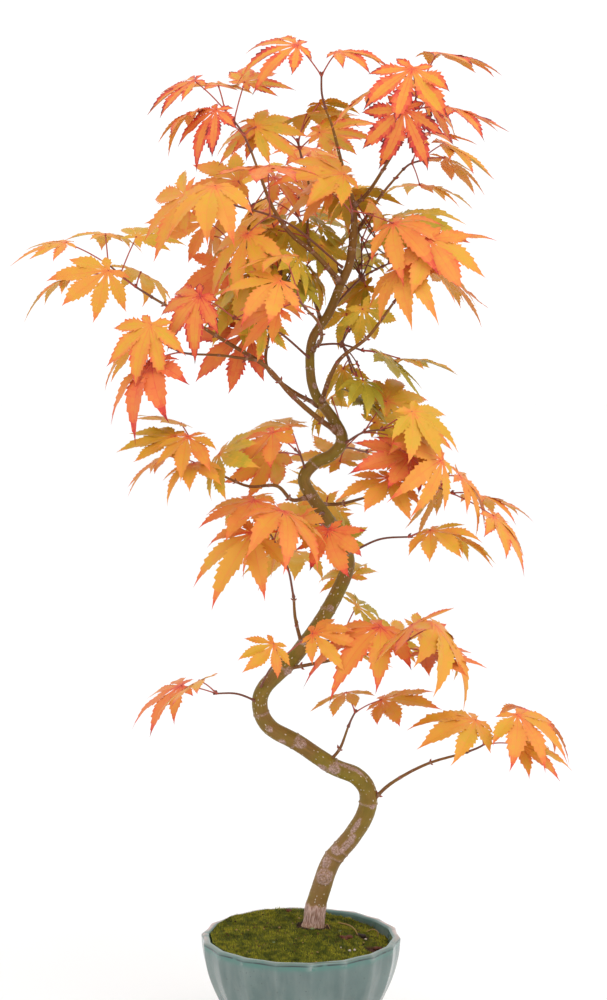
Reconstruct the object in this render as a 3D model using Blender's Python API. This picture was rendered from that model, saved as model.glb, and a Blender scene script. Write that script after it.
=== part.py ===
"""Bonsai Japanese maple in autumn leaf, in a fluted stoneware pot.

Metres, +Z up. The origin is the centre of the pot's flat underside, +X is to the right of the
tree's front and +Y is behind it. The trunk snakes up out of the moss, boughs leave it at its
bends, and each mass of leaves grows from one stem by the seeded rule in grow_mass().
"""

import math
import random

import bpy
from mathutils import Vector
from mathutils.bvhtree import BVHTree

# ---------------------------------------------------------------- driving dimensions
GAP = 0.0003  # clearance between pieces that meet

POT_HEIGHT = 0.080
WALL = 0.005
LIP_ROUND = 0.0015
FLOOR = 0.008
FLUTES = 18
FLUTE_DEPTH = 0.0015  # at the rim, shallower in step with the radius
INNER_FLUTE = 0.6  # depth of the flutes inside, as a share of that outside
FLUTE_TURN = math.radians(6)  # how far the first ridge stands to the right of the front
# radius at the ridges and height of the outside, from the foot to the rim
POT_PROFILE = (
    (0.0360, 0.0000),
    (0.0362, 0.0060),
    (0.0380, 0.0130),
    (0.0432, 0.0270),
    (0.0496, 0.0410),
    (0.0556, 0.0550),
    (0.0590, 0.0680),
    (0.0600, 0.0785),
)

MOSS_EDGE = 0.0745  # height of the moss at the wall
INNER_HEIGHTS = (MOSS_EDGE, 0.041, FLOOR)  # rings of the wall inside, from the moss down
MOSS_LEVEL = 0.026  # radius of the level middle that the trunk stands on
MOSS_ROUND = 1.6  # how the mound falls from its level middle: 1 is a cone, 2 is rounder
MOSS_LUMP = 0.0006
LUMPS_ROUND = 13.2  # lumps in one turn of the mound
LUMPS_ACROSS = 6.4  # and from its middle to the wall
MOSS_RINGS = (0.90, 0.78, 0.64, 0.48)  # rings of the mound, as shares of the wall's radius

# (centre of the trunk, its width), from the ground to the tip
TRUNK = (
    ((0.0074, 0.0100, 0.0814), 0.0156),
    ((0.0081, 0.0099, 0.0862), 0.0134),
    ((0.0092, 0.0095, 0.0946), 0.0122),
    ((0.0116, 0.0090, 0.1034), 0.0119),
    ((0.0182, 0.0070, 0.1226), 0.0115),
    ((0.0308, 0.0050, 0.1391), 0.0111),
    ((0.0391, 0.0030, 0.1544), 0.0109),
    ((0.0399, 0.0010, 0.1677), 0.0106),
    ((0.0330, -0.0010, 0.1774), 0.0104),
    ((0.0192, -0.0030, 0.1839), 0.0101),
    ((-0.0016, -0.0060, 0.1986), 0.0099),
    ((-0.0181, -0.0080, 0.2087), 0.0096),
    ((-0.0240, -0.0090, 0.2210), 0.0093),
    ((-0.0210, -0.0080, 0.2328), 0.0092),
    ((-0.0063, -0.0050, 0.2472), 0.0090),
    ((0.0109, 0.0000, 0.2691), 0.0089),
    ((0.0227, 0.0050, 0.2892), 0.0085),
    ((0.0279, 0.0080, 0.3037), 0.0083),
    ((0.0239, 0.0080, 0.3187), 0.0080),
    ((0.0114, 0.0040, 0.3378), 0.0076),
    ((0.0020, -0.0010, 0.3545), 0.0073),
    ((0.0078, -0.0040, 0.3649), 0.0072),
    ((0.0189, -0.0060, 0.3710), 0.0071),
    ((0.0242, -0.0060, 0.3799), 0.0070),
    ((0.0189, -0.0040, 0.3914), 0.0065),
    ((0.0084, -0.0010, 0.4063), 0.0056),
    ((0.0055, 0.0010, 0.4220), 0.0054),
    ((0.0072, 0.0010, 0.4384), 0.0052),
    ((0.0160, 0.0010, 0.4518), 0.0052),
    ((0.0230, 0.0020, 0.4686), 0.0051),
    ((0.0288, 0.0030, 0.4825), 0.0049),
    ((0.0311, 0.0040, 0.5016), 0.0042),
    ((0.0304, 0.0040, 0.5166), 0.0032),
    ((0.0257, 0.0020, 0.5322), 0.0023),
    ((0.0187, 0.0000, 0.5592), 0.0015),
    ((0.0147, -0.0010, 0.5701), 0.0012),
)
TRUNK_BENDS = (7, 12, 17, 20, 23, 26)  # the points of TRUNK where it turns back on itself

# name, what carries it, width where it leaves, width at its tip, points from inside its carrier
BOUGHS = (
    ("bough_low_right", "trunk", 0.0030, 0.0017, (
        (0.040, 0.002, 0.158), (0.053, -0.004, 0.173), (0.074, -0.012, 0.187), (0.097, -0.020, 0.196))),
    ("bough_low_mid", "trunk", 0.0028, 0.0016, (
        (0.015, -0.003, 0.185), (0.023, -0.007, 0.195), (0.028, -0.010, 0.209))),
    ("bough_right_lower", "trunk", 0.0028, 0.0016, (
        (-0.010, -0.006, 0.243), (0.013, -0.014, 0.249), (0.027, -0.022, 0.254), (0.042, -0.030, 0.257))),
    ("bough_mid_left", "trunk", 0.0030, 0.0018, (
        (0.001, -0.003, 0.256), (-0.003, -0.012, 0.274), (-0.004, -0.018, 0.288))),
    ("bough_right_upper", "trunk", 0.0028, 0.0016, (
        (0.010, 0.004, 0.340), (0.023, 0.006, 0.340), (0.035, -0.002, 0.344), (0.049, -0.014, 0.350))),
    ("bough_left_upper", "trunk", 0.0032, 0.0016, (
        (0.005, 0.001, 0.345), (-0.005, -0.006, 0.344), (-0.014, -0.012, 0.353), (-0.030, -0.021, 0.354),
        (-0.045, -0.028, 0.361))),
    ("bough_left_crown", "trunk", 0.0042, 0.0018, (
        (0.022, -0.006, 0.384), (0.010, -0.014, 0.393), (-0.006, -0.022, 0.408), (-0.020, -0.026, 0.424),
        (-0.044, -0.026, 0.439), (-0.062, -0.024, 0.450), (-0.085, -0.018, 0.463))),
    ("bough_left_crown_low", "bough_left_crown", 0.0022, 0.0015, (
        (-0.022, -0.026, 0.427), (-0.036, -0.036, 0.430), (-0.047, -0.044, 0.432), (-0.060, -0.050, 0.433))),
    ("bough_left_inner", "trunk", 0.0034, 0.0017, (
        (0.011, -0.002, 0.399), (-0.006, 0.012, 0.407), (-0.020, 0.020, 0.420), (-0.018, 0.022, 0.441),
        (-0.012, 0.018, 0.455))),
    ("bough_left_thin", "trunk", 0.0026, 0.0015, (
        (0.012, 0.001, 0.448), (0.006, 0.016, 0.464), (-0.004, 0.028, 0.473), (-0.023, 0.042, 0.484))),
    ("bough_right_crown", "trunk", 0.0038, 0.0018, (
        (0.012, -0.002, 0.400), (0.016, -0.014, 0.414), (0.023, -0.020, 0.428), (0.039, -0.022, 0.441),
        (0.053, -0.024, 0.460))),
    ("bough_left_top", "trunk", 0.0040, 0.0016, (
        (0.024, 0.002, 0.470), (0.008, -0.012, 0.488), (-0.006, -0.020, 0.500), (-0.016, -0.024, 0.515),
        (-0.022, -0.022, 0.530), (-0.028, -0.016, 0.546))),
    ("bough_top_mid", "bough_left_top", 0.0024, 0.0014, (
        (0.005, -0.012, 0.492), (0.004, 0.002, 0.503), (0.005, 0.012, 0.525), (0.001, 0.016, 0.541))),
    ("bough_right_top", "trunk", 0.0032, 0.0016, (
        (0.030, 0.004, 0.514), (0.039, -0.006, 0.523), (0.049, -0.016, 0.539), (0.057, -0.022, 0.552))),
    ("bough_right_back", "trunk", 0.0030, 0.0015, (
        (0.030, 0.004, 0.495), (0.040, 0.022, 0.510), (0.050, 0.040, 0.523), (0.061, 0.052, 0.535))),
    ("bough_crown_back", "trunk", 0.0034, 0.0016, (
        (0.026, 0.002, 0.475), (0.017, 0.030, 0.481), (0.007, 0.060, 0.493), (0.000, 0.086, 0.503))),
    ("bough_crown_front", "trunk", 0.0030, 0.0016, (
        (0.007, 0.001, 0.431), (0.012, -0.024, 0.440), (0.010, -0.050, 0.451), (0.003, -0.068, 0.460))),
)

# name, what carries it, where its stem leaves the trunk (None at a tip), where the stem ends,
# pairs of leaves along the stem, side twigs, length of a leaf's middle lobe, tint, seed; each seed
# was chosen from many, as the one whose leaves fill their part of the crown best
MASSES = (
    ("leaves_low_right", "bough_low_right", None, (0.117, -0.026, 0.210), 2, 0, 0.044, "gold", 542),
    ("leaves_low_mid", "bough_low_mid", None, (0.033, -0.016, 0.221), 1, 0, 0.038, "orange", 93),
    ("leaves_right_lower", "bough_right_lower", None, (0.063, -0.046, 0.269), 2, 0, 0.046, "orange", 484),
    ("leaves_left_low", "trunk", (-0.023, -0.009, 0.223), (-0.051, -0.028, 0.233), 1, 0, 0.036, "orange", 371),
    ("leaves_left_low_2", "trunk", (-0.025, -0.009, 0.230), (-0.011, -0.040, 0.256), 1, 0, 0.030, "orange", 349),
    ("leaves_mid_left", "bough_mid_left", None, (-0.022, -0.034, 0.336), 2, 1, 0.044, "flame", 20),
    ("leaves_mid_right", "trunk", (0.027, 0.008, 0.309), (0.065, -0.018, 0.324), 1, 0, 0.040, "orange", 509),
    ("leaves_mid_front", "trunk", (0.014, 0.006, 0.334), (0.009, -0.034, 0.334), 1, 0, 0.042, "flame", 918),
    ("leaves_right_upper", "bough_right_upper", None, (0.076, -0.030, 0.360), 3, 1, 0.042, "orange", 475),
    ("leaves_left_upper", "bough_left_upper", None, (-0.060, -0.040, 0.374), 3, 0, 0.036, "gold", 358),
    ("leaves_neck_left", "trunk", (0.003, -0.001, 0.360), (-0.003, -0.036, 0.377), 2, 0, 0.038, "orange", 407),
    ("leaves_neck_right", "trunk", (0.024, -0.006, 0.376), (0.048, -0.030, 0.388), 2, 0, 0.040, "gold", 421),
    ("leaves_left_crown", "bough_left_crown", None, (-0.113, -0.006, 0.483), 3, 0, 0.038, "gold", 989),
    ("leaves_left_crown_low", "bough_left_crown_low", None, (-0.074, -0.058, 0.438), 2, 0, 0.042, "flame", 75),
    ("leaves_left_inner", "bough_left_inner", None, (-0.012, 0.006, 0.466), 2, 0, 0.038, "olive", 373),
    ("leaves_left_thin", "bough_left_thin", None, (-0.043, 0.050, 0.492), 2, 1, 0.042, "flame", 552),
    ("leaves_right_crown", "bough_right_crown", None, (0.070, -0.030, 0.486), 3, 0, 0.040, "orange", 320),
    ("leaves_left_top", "bough_left_top", None, (-0.045, -0.006, 0.572), 3, 0, 0.038, "orange", 358),
    ("leaves_top_mid", "bough_top_mid", None, (-0.002, 0.020, 0.554), 2, 0, 0.038, "gold", 443),
    ("leaves_right_top", "bough_right_top", None, (0.066, -0.030, 0.580), 3, 0, 0.042, "flame", 347),
    ("leaves_right_back", "bough_right_back", None, (0.074, 0.058, 0.541), 2, 0, 0.042, "gold", 466),
    ("leaves_crown_back", "bough_crown_back", None, (-0.005, 0.110, 0.513), 3, 1, 0.042, "gold", 379),
    ("leaves_crown_front", "bough_crown_front", None, (-0.002, -0.084, 0.468), 2, 0, 0.038, "gold", 622),
    ("leaves_tip", "trunk_tip", None, (0.012, -0.006, 0.592), 1, 0, 0.038, "orange", 249),
    ("leaves_upper_front", "trunk", (0.030, 0.004, 0.506), (0.029, -0.044, 0.512), 2, 0, 0.042, "orange", 436),
    ("leaves_upper_left", "trunk", (0.026, 0.003, 0.478), (-0.040, -0.058, 0.518), 3, 0, 0.044, "orange", 401),
    ("leaves_right_olive", "trunk", (0.007, 0.001, 0.434), (0.038, -0.006, 0.431), 1, 0, 0.038, "olive", 516),
    ("leaves_right_mid", "trunk", (0.017, 0.001, 0.454), (0.054, 0.034, 0.481), 2, 1, 0.040, "olive", 412),
    ("leaves_left_mid", "trunk", (0.007, 0.001, 0.425), (-0.038, -0.058, 0.454), 2, 1, 0.042, "flame", 2),
    ("leaves_back_low", "trunk", (-0.006, -0.005, 0.248), (0.051, 0.050, 0.253), 2, 0, 0.042, "olive", 639),
    ("leaves_back_mid", "trunk", (0.026, 0.008, 0.311), (0.000, 0.062, 0.316), 2, 0, 0.042, "gold", 199),
    ("leaves_back_neck", "trunk", (0.010, -0.004, 0.367), (0.041, 0.052, 0.365), 2, 0, 0.040, "gold", 790),
)

STEM_WIDTHS = (0.0014, 0.0011)  # of a mass's stem, where it starts and at its tip
TWIG_WIDTHS = (0.0011, 0.0009)
STALK_WIDTHS = (0.0009, 0.0008)
STALK_LENGTH = (0.016, 0.030)  # shortest and longest leaf stalk
TWIG_LENGTH = (0.020, 0.034)
TWIG_BOW = 0.001  # how far a twig's middle stands above the straight way
TWIG_LIFT = 0.2  # how far a twig rises, as a share of its reach
STALK_LIFT = (0.0, 0.3)  # the same for a stalk
STEM_BOW = 0.08  # how far a stem that leaves the trunk arches, as a share of its length
TIP_BOW = 0.4  # how far a stem at a bough's tip runs on in the bough's way before it turns
BARE_SHARE = 0.7  # share of a stem that its nodes stand along, counted back from the tip
MOST_BETWEEN = 0.5  # the widest room between two nodes, as a share of the stem
SIDE_SPREAD = (48, 76)  # degrees between the stem and a side leaf's stalk
END_SPREAD = (22, 44)  # the same for the two leaves at the tip
END_ROLL = (-25, 25)  # degrees that the last pair is turned out of the level
TWIG_ROLL = (-30, 30)
SIDE_ROLL = (-20, 20)
NODE_TURN = 60  # degrees that every other side pair is turned on
LEAF_THICKNESS = 0.0012  # at the hub, where the lobes meet
LEAF_ROOM = 0.0030  # the thickness that is kept clear round a leaf
STALK_ROOM = 0.0006  # kept clear round a stalk
STALK_SINK = 0.0025  # how far back from a twig's tip its last two stalks start
# each pair of lobes: degrees from the middle lobe, share of the middle lobe's length
LOBES = ((0, 1.0), (38, 0.93), (76, 0.70), (124, 0.34))
SHOULDER = 0.55  # where a lobe is widest, as a share of its length
SHOULDER_TURN = 13  # degrees from a lobe's middle line to its shoulder
NOTCH = 0.27  # where two lobes part, as a share of the middle lobe
HEEL = 0.05  # where the two hindmost lobes meet at the stalk
LOBE_FALL = math.radians(16)  # how far the lobes hang below the hub
LIGHT = Vector((0.0, -0.42, 0.90))  # the side that the blades turn to
STALK_PULL = 0.25  # how far a stalk draws its blade's face to its own way
TILT = 0.32  # how far the faces stray from that
DROOP = (0.2, 1.3)  # how far a middle lobe hangs, as a share of its stalk's way
LEAF_SIZES = (0.84, 1.1)  # smallest and largest, as shares of the mass's own
UP = Vector((0.0, 0.0, 1.0))
TRIES = 8  # draws for one leaf before it is skipped

FINE_STEP = 0.0004  # between the points that a limb is worked out from
TRUNK_STEP = 0.0112  # between a limb's rings
BOUGH_STEP = 0.014
TRUNK_SIDES = 9
BOUGH_SIDES = 5
STEM_SIDES = 3
STALK_SIDES = 3

SHARP = math.radians(35)  # edges that turn further than this are left crisp
BARK = ((0.20, 0.17, 0.06), 0.6)  # colour, roughness
GLAZE = ((0.16, 0.31, 0.30), 0.2)
MOSS = ((0.10, 0.16, 0.02), 0.95)
TINTS = {
    "gold": ((0.85, 0.42, 0.04), 0.5),
    "orange": ((0.86, 0.30, 0.03), 0.5),
    "flame": ((0.84, 0.13, 0.03), 0.5),
    "olive": ((0.48, 0.36, 0.05), 0.5),
}


# ---------------------------------------------------------------- lines and tubes
def curve(marks, step):
    """Points about one step apart along the smooth curve through the marks.

    A mark and a point is a vector of four numbers: its place, then the limb's width there.
    """
    ends = [marks[0] * 2 - marks[1], *marks, marks[-1] * 2 - marks[-2]]
    line = []
    for before, start, stop, after in zip(ends, ends[1:], ends[2:], ends[3:]):
        count = max(1, round((stop.xyz - start.xyz).length / step))
        for i in range(count):
            t = i / count
            line.append(0.5 * (
                2 * start
                + (stop - before) * t
                + (2 * before - 5 * start + 4 * stop - after) * t ** 2
                + (3 * start - before - 3 * stop + after) * t ** 3
            ))
    return line + [marks[-1]]


def tapered(points, widths):
    """The marks of a limb that narrows evenly from its first point to its last."""
    first, last = widths
    share = 1 / (len(points) - 1)
    return [Vector((*point, first + (last - first) * i * share)) for i, point in enumerate(points)]


def ways(line):
    """The unit direction of a line at each of its points."""
    ends = [line[0], *line, line[-1]]
    return [(after.xyz - before.xyz).normalized() for before, after in zip(ends, ends[2:])]


def stretches(line, count):
    """The points that part a fine line into so many equal stretches, with both of its ends."""
    last = len(line) - 1
    return [line[round(last * i / count)] for i in range(count + 1)]


def limb(line, along, step, sides):
    """A tube round a fine line, with its rings square to the line and about one step apart."""
    count = max(1, round(len(line) * FINE_STEP / step))
    return tube(stretches(line, count), sides, along=stretches(along, count))


def tube(line, sides, room=0.0, along=None):
    """Vertices and faces of a closed tube round a line, with some room round it if asked."""
    vertices, faces = [], []
    along = along or ways(line)
    across = along[0].orthogonal()
    for point, way in zip(line, along):
        across = (across - way * across.dot(way)).normalized()
        other = way.cross(across)
        radius = point.w / 2 + room
        for i in range(sides):
            angle = math.tau * i / sides
            vertices.append(point.xyz + radius * (across * math.cos(angle) + other * math.sin(angle)))
    for start in range(0, len(vertices) - sides, sides):
        for i in range(sides):
            here, beside = start + i, start + (i + 1) % sides
            faces.append((here, beside, beside + sides, here + sides))
    faces.append(tuple(reversed(range(sides))))
    faces.append(tuple(range(len(vertices) - sides, len(vertices))))
    return vertices, faces


def leave(line, carrier):
    """The part of a fine line that is clear of the limb it starts in."""
    for start in range(len(line) - 1):
        across = (line[start + 1].xyz - line[start].xyz).orthogonal().normalized()
        other = across.cross(line[start + 1].xyz - line[start].xyz).normalized()
        radius = line[start].w / 2
        rim = [line[start].xyz + radius * side for side in (across, other, -across, -other)]
        if all(outside(corner, carrier) > GAP for corner in rim):
            return line[start:]
    raise ValueError("a limb ends inside its carrier")


def outside(point, tree):
    """How far a point lies outside a closed surface; negative inside it."""
    surface, normal, _, distance = tree.find_nearest(point)
    return math.copysign(distance, (point - surface).dot(normal))


# ---------------------------------------------------------------- trunk and boughs
def trunk_lines():
    """The fine line of each stretch of the trunk between two bends, and its ways, from the ground up."""
    marks = [Vector((*centre, width)) for centre, width in TRUNK]
    whole = curve(marks, FINE_STEP)
    cuts = [min(range(len(whole)), key=lambda i: (whole[i] - marks[bend]).length) for bend in TRUNK_BENDS]
    along = ways(whole)
    for cut in cuts:
        along[cut + 1] = along[cut]
    starts = [0] + [cut + 1 for cut in cuts]
    stops = [cut + 1 for cut in cuts] + [len(whole)]
    return [(whole[start:stop], along[start:stop]) for start, stop in zip(starts, stops)]


def limb_shapes():
    """Line and shape of each stretch of the trunk and each bough, by name."""
    lines, shapes = {}, {}
    for number, (line, along) in enumerate(trunk_lines(), start=1):
        lines[f"trunk_{number}"] = line
        shapes[f"trunk_{number}"] = limb(line, along, TRUNK_STEP, TRUNK_SIDES)
    ground = TRUNK[0][0][2]
    for corner in shapes["trunk_1"][0][:TRUNK_SIDES]:
        corner.z = ground
    trunk = surface([shapes[name] for name in lines])
    for name, carrier, base_width, tip_width, points in BOUGHS:
        line = curve(tapered(points, (base_width, tip_width)), FINE_STEP)
        carrier_tree = trunk if carrier == "trunk" else surface([shapes[carrier]])
        lines[name] = leave(line, carrier_tree)
        shapes[name] = limb(lines[name], ways(lines[name]), BOUGH_STEP, BOUGH_SIDES)
    return lines, shapes


def surface(shapes):
    """One search tree over several shapes."""
    vertices, faces = [], []
    for corners, sides in shapes:
        first = len(vertices)
        vertices += corners
        faces += [tuple(first + i for i in side) for side in sides]
    return BVHTree.FromPolygons(vertices, faces)


# ---------------------------------------------------------------- leaves
def leaf_outline():
    """Corners of a flat leaf of unit length, anticlockwise from its heel: (angle, radius)."""
    right = []
    for (turn, length), (next_turn, _) in zip(LOBES, LOBES[1:]):
        if turn > 0:
            right.append((turn, length))
        if turn < LOBES[2][0]:
            right.append((turn + SHOULDER_TURN, length * SHOULDER))
        right.append(((turn + next_turn) / 2, NOTCH))
        if next_turn < LOBES[2][0]:
            right.append((next_turn - SHOULDER_TURN, LOBES[1][1] * SHOULDER))
    right.append(LOBES[-1])
    left = [(-turn, length) for turn, length in reversed(right)]
    return [(-180, HEEL), *left, LOBES[0], *right]


def blade(hub, heading, normal, length, thickness):
    """A leaf: two low cones of lobes, back to back, that hang a little from the hub."""
    beside = normal.cross(heading)
    vertices = [hub + normal * thickness / 2, hub - normal * thickness / 2]
    for turn, reach in leaf_outline():
        angle = math.radians(turn)
        flat = heading * math.cos(angle) + beside * math.sin(angle)
        vertices.append(hub + (flat * math.cos(LOBE_FALL) - normal * math.sin(LOBE_FALL)) * reach * length)
    corners = range(2, len(vertices))
    faces = []
    for here, beyond in zip(corners, [*corners[1:], corners[0]]):
        faces += [(0, here, beyond), (1, beyond, here)]
    return vertices, faces


def draw_leaf(rng, foot, way, side, spread, length):
    """One draw of a leaf: the line of its stalk from foot, and its blade's place."""
    turn = math.radians(rng.uniform(*spread))
    start = (way * math.cos(turn) + side * math.sin(turn) + UP * rng.uniform(*STALK_LIFT)).normalized()
    reach = rng.uniform(*STALK_LENGTH)
    hub = foot + start * reach
    tilt = Vector((rng.gauss(0, 1), rng.gauss(0, 1), rng.gauss(0, 1))) * TILT
    normal = (LIGHT + start * STALK_PULL + tilt).normalized()
    fall = start - UP * rng.uniform(*DROOP)
    heading = (fall - normal * fall.dot(normal)).normalized()
    stalk = tapered((foot, hub), STALK_WIDTHS)
    return stalk, (hub, heading, normal, length * rng.uniform(*LEAF_SIZES))


def room(shape):
    """A shape's search tree, with a ball round it for a quick first test."""
    vertices = shape[0]
    centre = sum(vertices, Vector()) / len(vertices)
    reach = max((vertex - centre).length for vertex in vertices)
    return centre, reach, surface([shape])


def touches(one, others):
    centre, reach, tree = one
    return any(
        (centre - other_centre).length < reach + other_reach and tree.overlap(other_tree)
        for other_centre, other_reach, other_tree in others
    )


# ---------------------------------------------------------------- masses of leaves
def grow_mass(stem, pairs, twigs, length, seed, limbs, neighbours):
    """Twig lines, stalk lines and blades of one mass, and the rooms that they fill.

    Pairs of leaves stand opposite each other along the stem, and the last pair at its tip.
    Some of the side leaves are twigs with a pair of their own. A leaf that would touch a limb,
    another mass or another leaf is drawn again, and at last skipped.
    """
    rng = random.Random(seed)
    lines, stalks, blades = [stem], [], []
    rooms = [room(tube(stem, STEM_SIDES, STALK_ROOM))]
    blade_rooms = []

    def add_leaf(foot, way, side, spread):
        for _ in range(TRIES):
            stalk, place = draw_leaf(rng, foot, way, side, spread, length)
            stalk_room = room(tube(stalk, STALK_SIDES, STALK_ROOM))
            blade_room = room(blade(*place, LEAF_ROOM))
            if touches(stalk_room, limbs + neighbours + blade_rooms):
                continue
            if touches(blade_room, limbs + neighbours + rooms):
                continue
            stalks.append(stalk)
            blades.append(place)
            blade_rooms.append(blade_room)
            rooms.extend((stalk_room, blade_room))
            return

    def add_twig(foot, way, side):
        turn = math.radians(rng.uniform(*SIDE_SPREAD))
        start = way * math.cos(turn) + side * math.sin(turn)
        tip = foot + (start + UP * TWIG_LIFT).normalized() * rng.uniform(*TWIG_LENGTH)
        twig = tapered((foot, (foot + tip) / 2 + UP * TWIG_BOW, tip), TWIG_WIDTHS)
        twig_room = room(tube(twig, STEM_SIDES, STALK_ROOM))
        if touches(twig_room, limbs + neighbours + blade_rooms):
            return
        lines.append(twig)
        rooms.append(twig_room)
        add_pair(twig, 1.0, rng.uniform(*TWIG_ROLL), END_SPREAD)

    def add_pair(line, share, roll, spread, twigs_here=0):
        index = round((len(line) - 1) * share)
        way = ways(line)[index]
        level = way.cross(UP).normalized()
        roll = math.radians(roll)
        side = level * math.cos(roll) + level.cross(way) * math.sin(roll)
        foot = line[index].xyz - way * STALK_SINK * (share == 1.0)
        for number, hand in enumerate(rng.sample((side, -side), 2)):
            if number < twigs_here:
                add_twig(foot, way, hand)
            else:
                add_leaf(foot, way, hand, spread)

    step = min(MOST_BETWEEN, BARE_SHARE / max(1, pairs - 1))
    add_pair(stem, 1.0, rng.uniform(*END_ROLL), END_SPREAD)
    for node in range(1, pairs):
        roll = rng.uniform(*SIDE_ROLL) + NODE_TURN * (node % 2)
        add_pair(stem, 1.0 - step * node, roll, SIDE_SPREAD, 1 if node <= twigs else 0)
    return lines, stalks, blades, rooms


def stem_line(carrier, start, end, lines, trunk):
    """The fine line of a mass's stem, clear of what carries it."""
    end = Vector(end)
    if start is None:
        tip, way = lines[carrier][-1].xyz, ways(lines[carrier])[-1]
        foot = tip + way * GAP
        bow = (foot + way * (end - foot).length * TIP_BOW).lerp((foot + end) / 2, TIP_BOW)
        return curve(tapered((foot, bow, end), STEM_WIDTHS), FINE_STEP)
    foot = Vector(start)
    bow = (foot + end) / 2 + UP * (end - foot).length * STEM_BOW
    return leave(curve(tapered((foot, bow, end), STEM_WIDTHS), FINE_STEP), trunk)


def grow_all(lines, shapes):
    """Each mass by name, grown in turn into the space that is left."""
    trunk_names = [name for name in shapes if name.startswith("trunk")]
    trunk = surface([shapes[name] for name in trunk_names])
    limbs = [room(shape) for shape in shapes.values()]
    stems, stem_rooms = {}, {}
    for name, carrier, start, end, pairs, *_ in MASSES:
        carrier = trunk_names[-1] if carrier == "trunk_tip" else carrier
        stems[name] = stretches(stem_line(carrier, start, end, lines, trunk), 2 * pairs)
        stem_rooms[name] = room(tube(stems[name], STEM_SIDES, STALK_ROOM))
    masses, filled = {}, []
    for name, _, _, _, pairs, twigs, length, _, seed in MASSES:
        others = [stem_rooms[other] for other in stems if other != name]
        grown = grow_mass(stems[name], pairs, twigs, length, seed, limbs + others, filled)
        masses[name] = grown[:3]
        filled += grown[3]
    return masses


# ---------------------------------------------------------------- objects
def paint(name, look):
    """The named material, made on its first use."""
    if name in bpy.data.materials:
        return bpy.data.materials[name]
    colour, roughness = look
    material = bpy.data.materials.new(name)
    material.use_nodes = True
    shader = material.node_tree.nodes["Principled BSDF"]
    shader.inputs["Base Color"].default_value = (*colour, 1.0)
    shader.inputs["Roughness"].default_value = roughness
    shader.inputs["Metallic"].default_value = 0.0
    material.diffuse_color = (*colour, 1.0)
    return material


def solid(name, shape, material, collection=None):
    """An object from vertices and faces."""
    mesh = bpy.data.meshes.new(name)
    mesh.from_pydata(*[shape[0], [], shape[1]])
    mesh.materials.append(material)
    mesh.update()
    made = bpy.data.objects.new(name, mesh)
    (collection or bpy.context.scene.collection).objects.link(made)
    return made


def mass(name, lines, stalks, blades, tint):
    """One mass, joined by a Boolean union into a single solid."""
    leaf = paint(f"leaf_{tint}", TINTS[tint])
    stem = solid(name, tube(lines[0], STEM_SIDES), leaf)
    parts = bpy.data.collections.new(f"{name}_parts")
    bpy.context.scene.collection.children.link(parts)
    shapes = [tube(line, STEM_SIDES) for line in lines[1:]]
    shapes += [tube(stalk, STALK_SIDES) for stalk in stalks]
    shapes += [blade(*place, LEAF_THICKNESS) for place in blades]
    for number, shape in enumerate(shapes):
        solid(f"{name}_part_{number}", shape, leaf, parts)
    union = stem.modifiers.new("union", "BOOLEAN")
    union.operation = "UNION"
    union.solver = "EXACT"
    union.operand_type = "COLLECTION"
    union.collection = parts
    graph = bpy.context.evaluated_depsgraph_get()
    joined = bpy.data.meshes.new_from_object(stem.evaluated_get(graph))
    stem.modifiers.clear()
    stem.data = joined
    for part in list(parts.objects):
        bpy.data.objects.remove(part)
    bpy.data.collections.remove(parts)


# ---------------------------------------------------------------- pot and moss
def flute_ring(radius, height, depth):
    """Corners of one ring of the pot: a ridge, then the valley beside it, all the way round."""
    ring = []
    for i in range(FLUTES * 2):
        angle = FLUTE_TURN - math.pi / 2 + math.pi * i / FLUTES
        reach = radius - depth * (i % 2) * radius / POT_PROFILE[-1][0]
        ring.append(Vector((reach * math.cos(angle), reach * math.sin(angle), height)))
    return ring


def wall_radius(height):
    """Radius of the outside at a height, read along the profile."""
    for (low_radius, low), (high_radius, high) in zip(POT_PROFILE, POT_PROFILE[1:]):
        if height <= high:
            return low_radius + (high_radius - low_radius) * (height - low) / (high - low)
    return POT_PROFILE[-1][0]


def stack(rings):
    """A closed shape from rings of equal count, the first and the last filled in."""
    count = len(rings[0])
    vertices = [corner for ring in rings for corner in ring]
    faces = [tuple(reversed(range(count)))]
    for start in range(0, len(vertices) - count, count):
        for i in range(count):
            here, beside = start + i, start + (i + 1) % count
            faces.append((here, beside, beside + count, here + count))
    faces.append(tuple(range(len(vertices) - count, len(vertices))))
    return vertices, faces


def pot():
    rings = [flute_ring(radius, height, FLUTE_DEPTH) for radius, height in POT_PROFILE]
    rim = POT_PROFILE[-1][0]
    inner_depth = FLUTE_DEPTH * INNER_FLUTE
    rings.append(flute_ring(rim - LIP_ROUND, POT_HEIGHT, FLUTE_DEPTH))
    rings.append(flute_ring(rim - WALL + LIP_ROUND / 2, POT_HEIGHT, inner_depth))
    rings.append(flute_ring(rim - WALL, POT_HEIGHT - LIP_ROUND, inner_depth))
    for height in INNER_HEIGHTS:
        rings.append(flute_ring(wall_radius(height) - WALL, height, inner_depth))
    return solid("pot", stack(rings), paint("glaze", GLAZE))


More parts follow.
